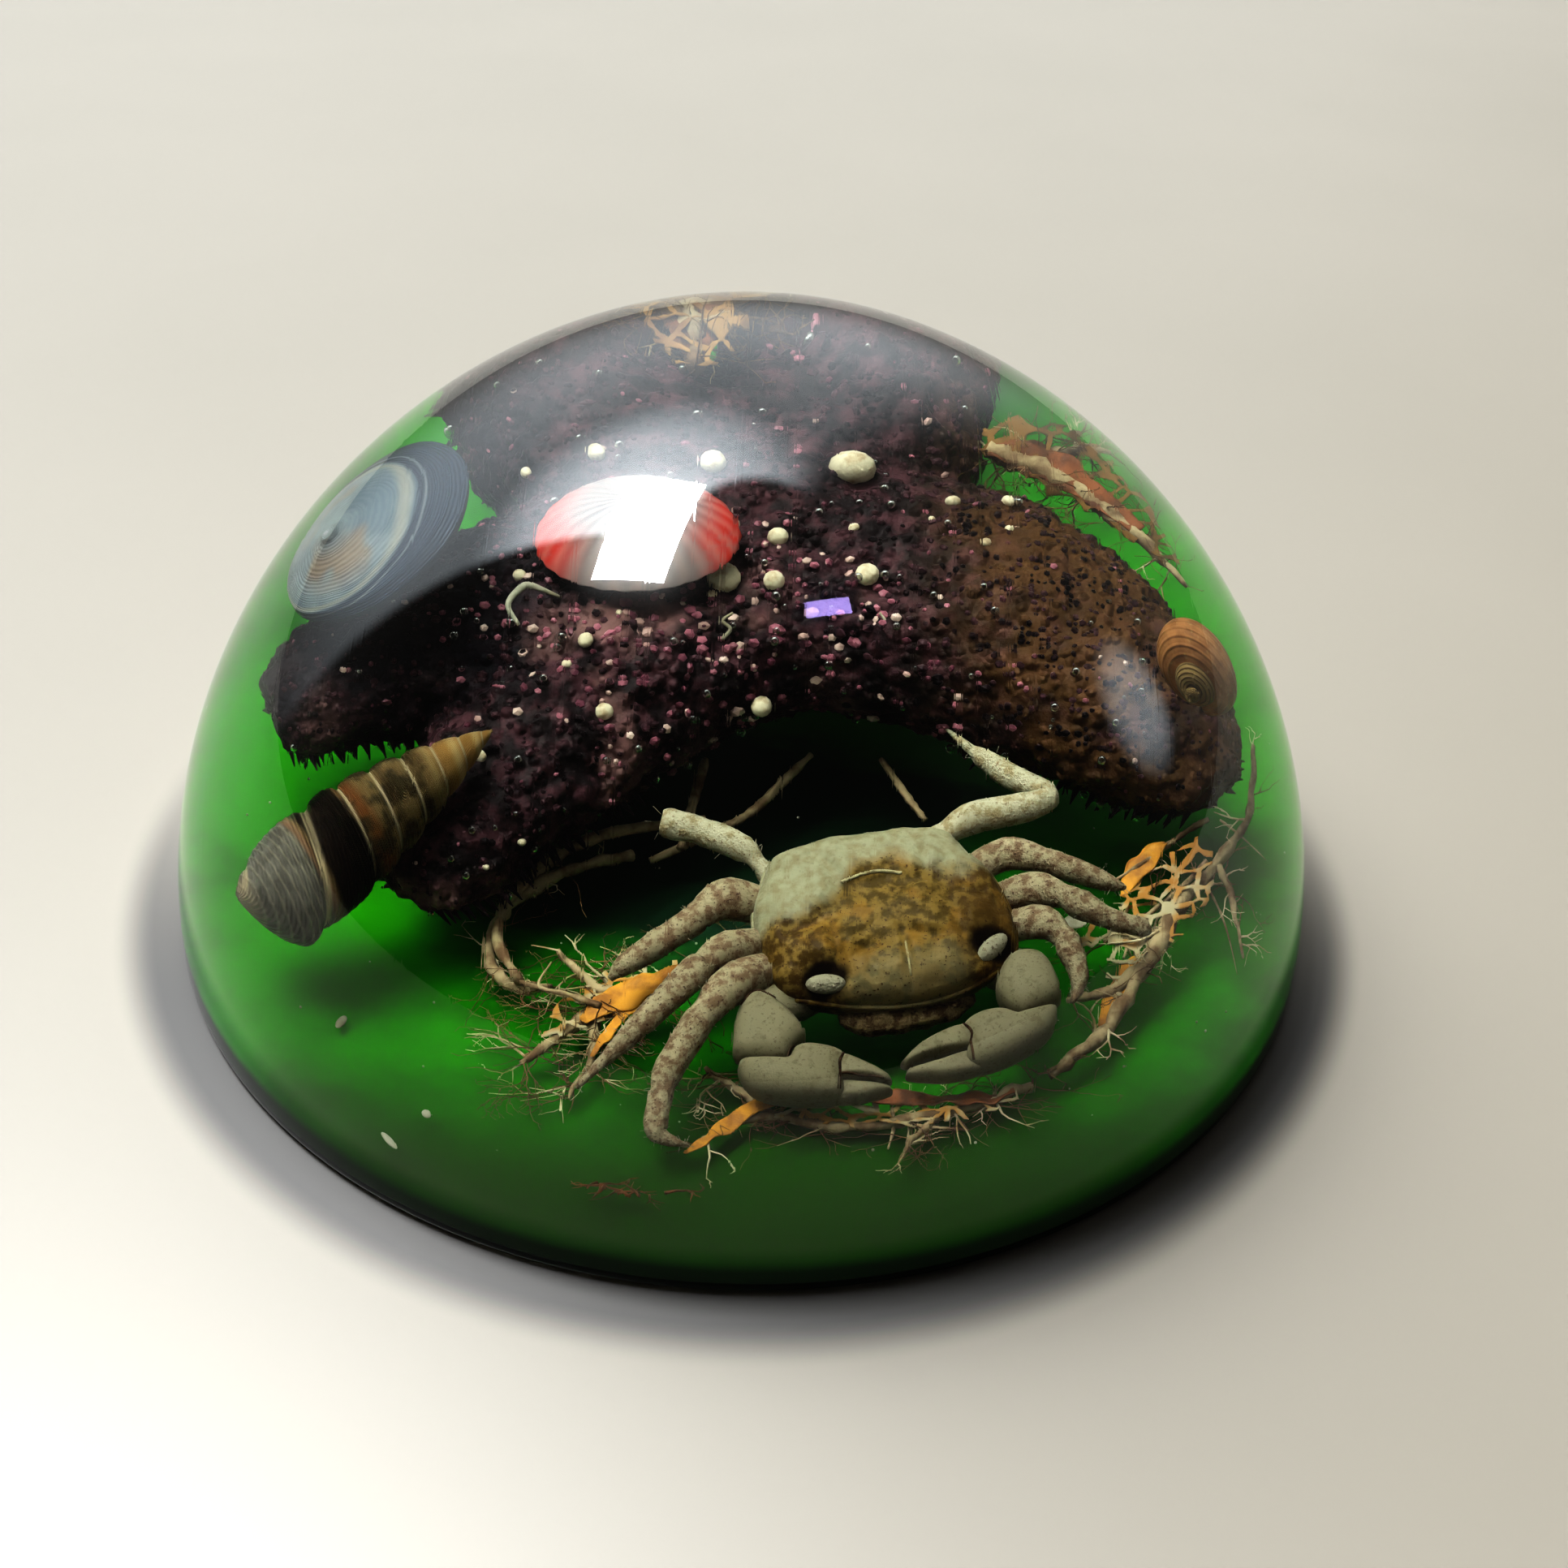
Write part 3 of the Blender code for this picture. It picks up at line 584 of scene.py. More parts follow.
for face in chosen:
    off = face.center / MM - FRONT_FACE
    near = max(0.0, 1 - Vector((off.x / 16, off.y / 9, off.z / 9)).length)
    size = draw.uniform(0.10, 0.24) * (1 + 1.2 * near * draw.random())
    stretch = (size * draw.uniform(0.7, 1.5), size, size * draw.uniform(0.4, 1.1))
    moves.append(at(face.center, face.normal, stretch))
    paints.append(draw.choices((0, 1, 2), weights=(80, 5 + 125 * near, 1 + 50 * near))[0])
crumbs = many("crumbs", crumb, moves, paints)

moves = []
for name, arm in STAR_ARMS.items():
    path = [point for point in smooth_path(arm, 24)][36:-2]
    gap = 0.0
    for here, ahead in zip(path, path[1:]):
        gap += (ahead - here).xyz.length
        if gap < FRINGE_STEP:
            continue
        gap = 0.0
        out = (ahead - here).xyz.cross(Vector((0, 0, 1))).normalized()
        for side in (-1, 1):
            for droop in (0.35, 0.75):
                way = (out * side - Vector((0, 0, droop + draw.uniform(-0.1, 0.1)))).normalized()
                skin, normal, index, reach = star_skin.ray_cast(here.xyz * MM, way)
                if skin is not None:
                    length = FRINGE_LENGTH * draw.uniform(0.7, 1.15)
                    drift = Vector((draw.uniform(-0.2, 0.2), draw.uniform(-0.2, 0.2), -0.15))
                    lean = (way + drift).normalized()
                    moves.append(at(skin + lean * length * 0.3 * MM, lean, (0.26, 0.26, length / 2)))
fringe = many("fringe", thorn, moves)

moves = []
for x, y, z, half in TUBERCLES:
    seat, normal = star_skin.find_nearest(Vector((x, y, z)) * MM)[:2]
    moves.append(at(seat, normal, (half * 1.05, half * 0.95, half * 0.8)))
for face in draw.choices(mesh.polygons, weights=[max(0.0, face.normal.z) for face in mesh.polygons], k=18):
    half = draw.uniform(0.18, 0.42)
    moves.append(at(face.center, face.normal, (half, half * 0.9, half * 0.8)))
knobs = many("knobs", pea, moves)

skin_finish, recipe = finish("starfish skin", 0.42)
where = recipe.where()
x, y, z = recipe.split(where)
grain = recipe.cells(where, 0.75)
patch = recipe.clouds(where, 5.0, 4.0)
colour = recipe.mix(recipe.clouds(where, 1.3, 4.0).rise(0.42, 0.66), (0.010, 0.007, 0.008),
                    (0.060, 0.026, 0.032))
colour = recipe.mix(patch.rise(0.50, 0.68) * (y * -1).rise(-4 * MM, 4 * MM) * 0.8, colour,
                    (0.19, 0.105, 0.100))
warm = x.rise(6 * MM, 14 * MM) * patch.rise(0.25, 0.6)
colour = recipe.mix(warm * 0.8, colour, (0.085, 0.042, 0.014))
colour = recipe.mix((x * -1).rise(8 * MM, 14 * MM) * y.rise(-7 * MM, -4 * MM) * 0.9, colour,
                    (0.004, 0.004, 0.007))
recipe.feed("Base Color", colour)
recipe.bump(grain.rise(0.1, 0.55) * -1 + recipe.clouds(where, 0.5, 3.0) * 0.6, 0.22)
crumb_dark, recipe = finish("dark granule", 0.3, Base_Color=(0.028, 0.012, 0.015, 1))
where = recipe.where()
recipe.feed("Base Color", recipe.mix(recipe.clouds(where, 2.0).rise(0.4, 0.6), (0.006, 0.004, 0.005),
                                     (0.050, 0.022, 0.028)))
crumb_rose, recipe = finish("rose granule", 0.3, Specular_IOR_Level=0.25)
where = recipe.where()
recipe.feed("Base Color", recipe.mix(recipe.clouds(where, 2.4).rise(0.4, 0.6), (0.095, 0.028, 0.044),
                                     (0.29, 0.110, 0.145)))
crumb_pale, recipe = finish("pale granule", 0.15, Specular_IOR_Level=0.6)
where = recipe.where()
recipe.feed("Base Color", recipe.mix(recipe.clouds(where, 2.4).rise(0.4, 0.6), (0.34, 0.22, 0.20),
                                     (0.56, 0.43, 0.38)))
thorn_finish, recipe = finish("dark spine", 0.4)
recipe.feed("Base Color", recipe.mix(recipe.clouds(recipe.where(), 1.0).rise(0.4, 0.7),
                                     (0.006, 0.005, 0.007), (0.030, 0.016, 0.020)))
knob_finish, recipe = finish("pale tubercle", 0.35)
where = recipe.where()
recipe.feed("Base Color", recipe.mix(recipe.clouds(where, 0.8).rise(0.45, 0.7), (0.62, 0.56, 0.42),
                                     (0.36, 0.28, 0.18)))
recipe.bump(recipe.clouds(where, 0.4, 2.0), 0.1)
star.data.materials.clear()
clothe(star, skin_finish)
clothe(crumbs, crumb_dark, crumb_rose, crumb_pale)
clothe(smooth(fringe, 50), thorn_finish)
clothe(smooth(knobs), knob_finish)
star = together("dark_starfish", [crumbs, fringe, knobs, star])
hand_over(star, "starfish", "starfish")

# %% [markdown]
# ## The crab
# The small shore crab is the brightest thing in the resin. It is built in its own frame, x to the
# viewer's right and y to its back, and moved to its place at the end. Its shell is a drawn outline filled
# with rings that rise to a low dome, and then carved with grooves. A vector attribute keeps each corner's
# place in that frame, so the cream back and the ochre front stay on the crab however it is turned.

# %% Crab shell
CRAB_PLACE = (7.6, -18.0, 9.6)
CRAB_TURN = (20.0, -5.0, 12.0)
CARAPACE = [(-4.9, 4.7), (-0.6, 5.0), (3.3, 4.5), (4.6, 2.9), (5.6, 1.3), (6.2, -1.3), (6.0, -3.2),
            (5.2, -4.0), (2.9, -5.0), (0.1, -5.3), (-2.9, -4.8), (-5.2, -4.0), (-6.5, -3.3), (-7.0, -0.9),
            (-7.0, 1.3), (-6.3, 3.0)]
CARAPACE_RISE = 2.3
LEG_SLIMNESS = 0.68
GROOVES = [
    [(-5.6, -0.6), (-4.0, -0.4), (-2.9, 0.6), (-2.6, 2.2), (-3.4, 3.6)],
    [(4.8, -0.2), (3.4, 0.2), (2.2, 1.0), (2.0, 2.6)],
    [(-2.9, 0.8), (-1.3, 1.3), (-0.2, 1.35), (0.9, 1.0), (2.2, 1.0)], [(0.2, -4.8), (0.2, -2.4)],
    [(-2.3, -2.6), (0.2, -2.1), (2.3, -2.5)],
    [(-3.0, 0.4), (-3.4, -1.2), (-3.2, -2.8)],
    [(2.8, 0.6), (3.2, -1.0), (3.3, -2.6)],
]
GROOVE_DEPTH = 0.30
CRAB_EYES = [(-4.2, -3.75, 1.15, -10), (4.7, -3.35, 1.15, 34)]
EYE_HALF = (1.05, 0.52, 0.55)


def outline_ring(outline):
    """A smooth closed ring of points through an outline."""
    return smooth_path([(x, y, 0) for x, y in outline[-1:] + outline + outline[:2]], 8)[8:-9]


def plate(name, outline, half, middle_z=0.0, fullness=0.55, segments=48, rings=24):
    """A ball spread out to an outline: a flat-topped solid with round edges."""
    ring = outline_ring(outline)
    middle = sum(ring, Vector((0, 0, 0))) / len(ring)
    polar = sorted((math.atan2(point.y - middle.y, point.x - middle.x),
                    (point - middle).length) for point in ring)
    made = ball(name, (0, 0, 0), (1, 1, 1), segments, rings)
    for vertex in made.data.vertices:
        x, y, z = vertex.co / MM
        angle = math.atan2(y, x)
        after = bisect.bisect(polar, (angle, 0.0)) % len(polar)
        (first, near), (second, far) = polar[after - 1], polar[after]
        share = ((angle - first) % (2 * math.pi)) / max((second - first) % (2 * math.pi), 1e-6)
        reach = (near + (far - near) * min(1.0, share)) * math.hypot(x, y) ** fullness
        height = middle_z + math.copysign(abs(z) ** 0.75, z) * half
        vertex.co = Vector((middle.x + math.cos(angle) * reach, middle.y + math.sin(angle) * reach,
                            height)) * MM
    return made


def groove_depth(x, y):
    """How deep a groove runs at a point of the shell's top, from 0 to 1."""
    nearest = 9.0
    point = Vector((x, y))
    for line in GROOVES:
        for start, end in zip(line, line[1:]):
            start, end = Vector(start), Vector(end)
            share = (point - start).dot(end - start) / (end - start).length_squared
            nearest = min(nearest, (point - start.lerp(end, min(1.0, max(0.0, share)))).length)
    return math.exp(-(nearest / 0.32) ** 2)


def carve_carapace(thing):
    """Grooves, low swellings, pits and the two eye sockets."""
    for vertex in thing.data.vertices:
        point = vertex.co / MM
        if point.z > 0:
            point.z -= GROOVE_DEPTH * groove_depth(point.x, point.y) * min(1.0, point.z)
            point.z += 0.26 * noise.noise(point / 1.5) + 0.09 * noise.noise(point / 0.4)
            for x, y, z, turn in CRAB_EYES:
                off = Vector(((point.x - x) * 0.7, point.y - y - 0.15))
                point.z -= 1.1 * math.exp(-(off.length / 0.75) ** 2)
        vertex.co = point * MM


def seated(surface, line, half):
    """A line of x and y laid on a surface from above, as a path for strands."""
    path = []
    for point in smooth_path([(x, y, 0) for x, y in line], 5):
        spot = surface.ray_cast(Vector((point.x, point.y, 9)) * MM, Vector((0, 0, -1)))[0]
        if spot is not None:
            path.append((*(spot / MM), half))
    return path


carapace = plate("carapace", CARAPACE, CARAPACE_RISE, fullness=0.5, segments=128, rings=64)
carve_carapace(carapace)
rim = [(point.x * 0.995, point.y * 0.995, 0.1, 0.17) for point in outline_ring(CARAPACE)]
shell_top = surface_of(carapace)
ridges = [seated(shell_top, [(-2.4, 1.5), (-1.3, 1.75), (-0.2, 1.8), (0.8, 1.5)], 0.09),
          seated(shell_top, [(0.2, -2.5), (0.15, -4.4)], 0.06)]
ridges = strands("ridges", ridges, sides=2)
rim = strands("rim", [rim + rim[:1]], sides=2)
belly = ball("belly", (-0.3, -0.4, -1.7), (5.0, 3.8, 1.5), 32, 16)
mouth = ball("mouth", (-0.1, -4.7, -1.2), (3.6, 1.3, 1.0), 48, 24)
relief(mouth, "CLOUDS", 0.7, 0.5)
settle(mouth)

# %% Crab legs and claws
CRAB_LEGS = {
    "left_stump": [(-3.6, 2.6, -1.3, 0.8), (-5.4, 4.2, -0.9, 0.85), (-6.0, 5.0, -0.6, 0.62),
                   (-6.6, 5.9, -0.4, 1.05), (-8.3, 7.2, -0.4, 1.08), (-9.9, 8.1, -0.5, 1.15),
                   (-10.3, 8.3, -0.5, 0.95)],
    "left_front": [(-5.0, 2.2, -1.4, 1.2), (-7.9, 2.7, 0.2, 1.65), (-9.6, 1.9, 0.6, 1.1),
                   (-10.4, 1.4, 0.6, 1.15), (-13.6, 0.0, 0.2, 0.95), (-14.8, -0.6, -0.2, 0.25)],
    "left_middle": [(-5.4, 0.4, -1.4, 1.2), (-8.6, -0.6, 1.0, 1.35), (-10.2, -1.6, 1.4, 1.05),
                    (-10.9, -2.1, 1.5, 1.25), (-14.2, -4.5, 1.2, 0.95), (-15.2, -5.2, 1.0, 0.75),
                    (-18.0, -7.1, 0.4, 0.12)],
    "left_near": [(-5.2, -0.8, -1.4, 1.2), (-8.6, -2.6, 1.0, 1.6), (-10.6, -4.4, 1.4, 1.15),
                  (-11.3, -5.1, 1.4, 1.25), (-13.2, -7.4, 1.0, 1.15), (-13.7, -8.4, 0.8, 0.95),
                  (-14.4, -10.2, 0.5, 0.95), (-14.1, -10.9, 0.3, 0.6), (-12.9, -11.5, 0.1, 0.12)],
    "right_back": [(2.0, 3.2, -1.5, 1.0), (2.8, 4.8, -1.2, 0.85), (3.9, 5.2, -1.0, 1.0),
                   (5.4, 5.8, -1.0, 1.25), (8.4, 6.0, -1.1, 1.15), (9.5, 6.4, -1.2, 0.95),
                   (9.1, 7.2, -1.5, 0.9), (8.0, 8.2, -1.8, 1.0), (6.7, 10.0, -2.3, 0.8),
                   (6.2, 10.8, -2.6, 0.45), (5.2, 12.5, -3.0, 0.12)],
    "right_front": [(4.0, 2.6, -1.4, 1.1), (6.6, 3.2, -0.8, 1.3), (8.8, 2.3, -0.8, 1.0),
                    (9.4, 2.0, -0.9, 1.05), (11.8, 1.0, -1.7, 0.75), (12.8, 0.7, -2.2, 0.12)],
    "right_middle": [(4.8, 0.8, -1.5, 1.1), (7.6, 0.5, -0.3, 1.45), (9.2, -0.4, 0.0, 1.0),
                     (9.9, -1.0, 0.0, 1.2), (11.5, -2.1, -0.3, 0.85), (13.4, -2.7, -0.9, 0.8),
                     (13.7, -2.75, -1.0, 0.5)],
    "right_near": [(5.0, -0.8, -1.4, 1.1), (7.6, -1.8, 0.2, 1.35), (8.6, -2.9, 0.3, 0.95),
                   (8.9, -3.6, 0.3, 1.1), (9.2, -5.6, -0.1, 0.8), (8.6, -6.8, -0.3, 0.15)],
}
WHITE_LEGS = ("left_stump", "right_back")
CLAW_ARMS = [[(-4.4, -2.4, -1.4, 1.2), (-7.4, -3.9, -0.5, 1.3)],
             [(4.4, -2.6, -1.4, 1.2), (6.2, -4.2, -0.8, 1.3)]]
# Each part of a claw: its outline, half its thickness and its height
CLAW_PLATES = {
    "left_wrist": ([(-7.9, -3.1), (-6.6, -4.2), (-5.7, -6.1), (-6.4, -6.9), (-7.2, -7.6), (-9.3, -6.9),
                    (-9.5, -5.8), (-8.8, -4.0)], 1.45, 0.2),
    "left_palm": ([(-9.4, -7.3), (-9.4, -8.6), (-8.5, -9.5), (-6.5, -10.2), (-4.6, -10.4), (-4.3, -9.2),
                   (-4.0, -7.9), (-5.4, -7.1), (-6.4, -7.1), (-7.2, -7.8)], 1.4, 0.5),
    "left_finger": ([(-4.4, -7.9), (-2.9, -8.9), (-1.9, -9.9), (-2.2, -10.1), (-3.4, -9.6),
                     (-4.8, -9.2)], 0.85, 0.7),
    "left_thumb": ([(-5.0, -9.3), (-3.3, -9.7), (-2.0, -10.2), (-2.2, -10.5), (-5.0, -10.4)], 0.75, 0.3),
    "right_wrist": ([(5.6, -3.6), (7.2, -3.7), (7.9, -5.1), (7.9, -6.7), (6.2, -7.3), (5.3, -7.2),
                     (4.5, -5.5)], 1.45, 0.0),
    "right_palm": ([(7.6, -7.2), (7.1, -8.7), (5.2, -9.7), (3.1, -10.1), (2.2, -9.6), (2.5, -8.4),
                    (2.3, -7.5), (3.2, -6.9), (4.6, -6.9), (5.8, -7.5)], 1.4, 0.2),
    "right_finger": ([(2.9, -8.7), (2.6, -7.4), (0.2, -8.0), (-1.2, -9.0), (-1.3, -9.25),
                      (0.6, -8.9)], 0.85, 0.5),
    "right_thumb": ([(3.3, -10.0), (1.4, -10.2), (-0.1, -9.9), (-1.3, -9.4), (0.8, -9.1),
                     (2.9, -8.9)], 0.8, 0.1),
}
JOINT_LINES = [
    [(-9.4, -7.1), (-8.3, -7.6), (-7.2, -7.7), (-6.6, -7.0), (-5.9, -6.7)],
    [(-4.0, -8.0), (-4.4, -8.6), (-4.5, -9.2), (-4.7, -10.2)],
    [(-4.4, -9.3), (-3.2, -9.65), (-2.1, -10.1)], [(-8.7, -4.1), (-7.8, -3.5), (-6.9, -4.0)],
    [(7.7, -6.95), (6.6, -7.4), (5.6, -7.35), (4.9, -6.8)],
    [(2.4, -7.5), (2.75, -8.2), (2.6, -8.8), (2.6, -9.8)],
    [(2.4, -8.85), (0.8, -9.0), (-1.1, -9.3)],
]


def leg(name, joints):
    slim = [(x, y, z, half * LEG_SLIMNESS) for x, y, z, half in smooth_path(joints, 6)]
    made = strands(name, [slim], sides=4)
    relief(made, "CLOUDS", 0.8, 0.22)
    return smooth(settle(made))


brown_parts, white_parts, claw_parts, hairs = [], [], [], []
draw = random.Random(5)
for name, joints in CRAB_LEGS.items():
    (white_parts if name in WHITE_LEGS else brown_parts).append(leg(name, joints))
    for point in smooth_path(joints, 12)[24:: 4 if name in WHITE_LEGS else 1]:
        way = Vector((draw.uniform(-1, 1), draw.uniform(-1, 1), draw.uniform(-0.6, 0.6))).normalized()
        start = point.xyz + way * point[3] * 0.6
        hairs.append([(*start, 0.02), (*(start + way * draw.uniform(0.2, 0.6)), 0.01)])
for name, (outline, half, height) in CLAW_PLATES.items():
    claw_parts.append(plate(name, outline, half, height))
claws = together("claws", claw_parts)
claw_top = surface_of(claws)
joint_lines = strands("joint_lines", [seated(claw_top, line, 0.085) for line in JOINT_LINES], sides=1)
arms = strands("arms", [smooth_path(line, 4) for line in CLAW_ARMS], sides=4)
hairs = strands("hairs", hairs, sides=0)
eyes = []
for x, y, z, turn in CRAB_EYES:
    eye = ball("eye", (0, 0, 0), EYE_HALF, 24, 16)
    eye.data.transform(placing((x, y, z), (0, 0, turn)))
    eyes.append(eye)

# %% Crab finish
def crab_coordinates(recipe):
    return recipe.node("ShaderNodeAttribute", {"attribute_name": "crab"}, None, "Vector")


shell_finish, recipe = finish("crab shell", 0.38)
place = crab_coordinates(recipe)
x, y, z = recipe.split(place)
patch = recipe.node("ShaderNodeTexNoise", None, {"Vector": place, "Scale": 0.55, "Detail": 5.0})
fine = recipe.node("ShaderNodeTexNoise", None, {"Vector": place, "Scale": 1.7, "Detail": 5.0})
dust = recipe.node("ShaderNodeTexNoise", None, {"Vector": place, "Scale": 6.0, "Detail": 3.0})
ochre = recipe.mix(fine.rise(0.40, 0.62), (0.062, 0.040, 0.011), (0.155, 0.102, 0.030))
ochre = recipe.mix(patch.rise(0.5, 0.62) * 0.6, ochre, (0.205, 0.112, 0.020))
flank = abs(x + 0.4).rise(2.4, 4.6) * fine.rise(0.62, 0.40)
ochre = recipe.mix(flank * 0.85, ochre, (0.050, 0.026, 0.007))
ochre = recipe.mix(x.rise(2.2, 4.2) * (y + 1.6).band(0, 3.2) * 0.7, ochre, (0.060, 0.033, 0.009))
cream = recipe.mix(fine.rise(0.35, 0.7), (0.235, 0.225, 0.155), (0.180, 0.160, 0.096))
lobe = abs(x + 0.4).rise(1.0, 2.9)
edge = y + lobe * 1.9 - x * 0.13 + (patch - 0.5) * 3.2 + (fine - 0.5) * 0.9
colour = recipe.mix(edge.rise(2.1, 3.6), ochre, cream)
front = (y * -1).rise(2.2, 4.4) * (1 - abs(x).rise(2.4, 4.0))
colour = recipe.mix(front * 0.6, colour, (0.165, 0.140, 0.080))
speck = dust.rise(0.62, 0.68) * (1 - edge.rise(2.3, 3.3) * 0.8)
colour = recipe.mix(speck * 0.85, colour, (0.040, 0.020, 0.010))
# Painted shade: near black round each eye socket, where the pit lies in shade
for eye_x, eye_y, eye_z, turn in CRAB_EYES:
    off = (x - eye_x) * (x - eye_x) * 0.45 + (y - eye_y - 0.25) * (y - eye_y - 0.25)
    colour = recipe.mix(1 - off.rise(0.35, 0.95), colour, (0.010, 0.006, 0.004))
recipe.feed("Base Color", colour)
recipe.bump(fine + dust * 0.3, 0.08)


def crab_finish(name, pale, brown, dark, roughness, amount, relief=0.12):
    """Pale shell with brown mottling and dark specks."""
    made, recipe = finish(name, roughness)
    place = crab_coordinates(recipe)
    patch = recipe.node("ShaderNodeTexNoise", None,
                        {"Vector": place, "Scale": 1.6, "Detail": 6.0, "Roughness": 0.65})
    speck = recipe.node("ShaderNodeTexNoise", None, {"Vector": place, "Scale": 6.5, "Detail": 3.0})
    colour = recipe.mix(patch.rise(0.62 - amount, 0.80 - amount), pale, brown)
    colour = recipe.mix(speck.rise(0.60, 0.68) * 0.8, colour, dark)
    recipe.feed("Base Color", colour)
    recipe.bump(speck, relief)
    return made


brown_leg = crab_finish("brown leg", (0.29, 0.245, 0.165), (0.15, 0.100, 0.062),
                        (0.055, 0.022, 0.018), 0.5, 0.20)
white_leg = crab_finish("white leg", (0.36, 0.34, 0.25), (0.24, 0.195, 0.115),
                        (0.13, 0.075, 0.04), 0.45, 0.18)
# The claws' colour is partly their own and partly painted shade: darker because they lie at the front, away
# from the light
shaded_claw_finish = crab_finish("claw", (0.170, 0.150, 0.099), (0.120, 0.100, 0.060),
                          (0.095, 0.074, 0.045), 0.4, 0.10, relief=0.02)
eye_finish = crab_finish("eye", (0.24, 0.22, 0.165), (0.16, 0.14, 0.09), (0.08, 0.06, 0.04), 0.25, 0.05)
ridge_finish = crab_finish("ridge", (0.32, 0.28, 0.17), (0.24, 0.18, 0.09), (0.08, 0.05, 0.02), 0.4, 0.12)
line_finish, recipe = finish("joint line", 0.5)
recipe.feed("Base Color", recipe.mix(recipe.clouds(recipe.where(), 0.5).rise(0.4, 0.6),
                                     (0.022, 0.010, 0.006), (0.065, 0.035, 0.020)))
belly_finish = crab_finish("belly", (0.16, 0.115, 0.06), (0.06, 0.035, 0.018), (0.02, 0.01, 0.01), 0.5, 0.2)
crab_groups = [([carapace, rim], shell_finish), ([ridges], ridge_finish), ([belly, mouth], belly_finish),
               (brown_parts, brown_leg), (white_parts, white_leg), ([claws, arms], shaded_claw_finish),
               ([joint_lines], line_finish), ([hairs, *eyes], eye_finish)]
crab_bits = []
for group, material in crab_groups:
    for bit in group:
        bit.data.materials.clear()
        clothe(smooth(bit), material)
        crab_bits.append(bit)
crab = together("dried_crab", crab_bits)
attribute = crab.data.attributes.new("crab", "FLOAT_VECTOR", "POINT")
for entry, vertex in zip(attribute.data, crab.data.vertices):
    entry.vector = vertex.co / MM
crab.data.transform(placing(CRAB_PLACE, CRAB_TURN))
hand_over(crab, "crab", "crab")

# %% [markdown]
# ## The tall shell
# A turret shell is a tube that winds down a cone. Rolling a grid into that form leaves a UV map in which
# `along` plus `around` counts the turns, so the pale line between the whorls is one sum in the shader.

# %% Tall shell
HORN_TIP = Vector((-13.2, -10.2, 15.0))
HORN_FOOT = Vector((-27.6, -19.8, 8.6))
HORN_RADIUS = 3.45
HORN_SHOULDER = 0.82
HORN_TURNS = 9.6
HORN_GROWTH = 0.75
HORN_LAST = 0.60
HORN_LAST_RATE = 3.3
HORN_TURN = (HORN_FOOT - HORN_TIP).to_track_quat("Z", "Y")
HORN_SLIDE = HORN_TURN.inverted() @ Vector((-1.2, 1.2, 1.0))


def horn_turns(along):
    if along < HORN_LAST:
        return HORN_TURNS * along ** HORN_GROWTH
    return HORN_TURNS * HORN_LAST ** HORN_GROWTH + HORN_LAST_RATE * (along - HORN_LAST)


def horn_form(along, around):
    """A point of the turret's skin, in its own frame with its tip up."""
    whorl = (horn_turns(along) + around) % 1.0
    dent = max(0.0, 1 - min(whorl, 1 - whorl) / 0.16) ** 2
    ribs = 0.008 * math.cos(2 * math.pi * 9 * whorl)
    bulge = 0.87 + 0.13 * math.sin(math.pi * whorl ** 0.8) ** 0.6 - 0.05 * dent + ribs
    spread = HORN_RADIUS * math.sin(math.pi * 0.5 * min(1.0, along / HORN_SHOULDER)) ** 0.8
    end = max(0.0, (along - HORN_SHOULDER) / (1.0 - HORN_SHOULDER))
    spread *= 1.0 - 0.90 * end ** 1.7
    radius = max(0.08, spread * bulge)
    angle = 2 * math.pi * around
    slide = HORN_SLIDE * end ** 1.4
    return (math.cos(angle) * radius + slide.x, math.sin(angle) * radius + slide.y,
            along * (HORN_FOOT - HORN_TIP).length)


horn = rolled("tall_shell", 420, 84, horn_form)
horn.data.transform(HORN_TURN.to_matrix().to_4x4())
horn.data.transform(Matrix.Translation(HORN_TIP * MM))
smooth(horn)
horn_finish, recipe = finish("banded shell", 0.32)
along, around, unused = recipe.split(recipe.where("UV"))
where = recipe.where()
early = along ** HORN_GROWTH * HORN_TURNS
late = (along - HORN_LAST) * HORN_LAST_RATE + HORN_TURNS * HORN_LAST ** HORN_GROWTH
past = along.rise(HORN_LAST - 0.001, HORN_LAST + 0.001)
turns = early * (1 - past) + late * past + around
whorl = turns.fraction()
mottle = recipe.clouds(where, 1.4, 5.0)
colour = recipe.mix(mottle.rise(0.40, 0.60), (0.050, 0.036, 0.018), (0.190, 0.130, 0.060))
colour = recipe.mix(whorl.band(0.78, 0.2) * 0.5, colour, (0.050, 0.028, 0.014))
tip = recipe.mix(whorl.band(0.3, 0.3), (0.36, 0.21, 0.070), (0.50, 0.36, 0.17))
colour = recipe.mix(1 - along.rise(0.14, 0.28), colour, tip)
dark = along.band(0.605, 0.13).rise(0.1, 0.45)
colour = recipe.mix(dark * 0.97, colour, (0.008, 0.005, 0.004))
colour = recipe.mix(along.band(0.485, 0.045) * mottle.rise(0.3, 0.6), colour, (0.17, 0.065, 0.022))
body = along.rise(0.69, 0.74)
grey = recipe.mix(mottle.rise(0.4, 0.6), (0.060, 0.056, 0.046), (0.115, 0.110, 0.092))
colour = recipe.mix(body, colour, grey)
colour = recipe.mix(along.band(0.712, 0.022), colour, (0.155, 0.080, 0.040))
stripe = ((along + mottle * 0.02) * 34).fraction().band(0.5, 0.26) * body
colour = recipe.mix(stripe * 0.5, colour, (0.25, 0.225, 0.165))
seam = (abs(whorl - 0.5) * 2).rise(0.86, 0.95) * (1 - dark * 0.6)
colour = recipe.mix(seam * 0.85, colour, (0.46, 0.38, 0.25))
colour = recipe.mix(along.rise(0.93, 0.99), colour, (0.24, 0.19, 0.12))
recipe.feed("Base Color", colour)
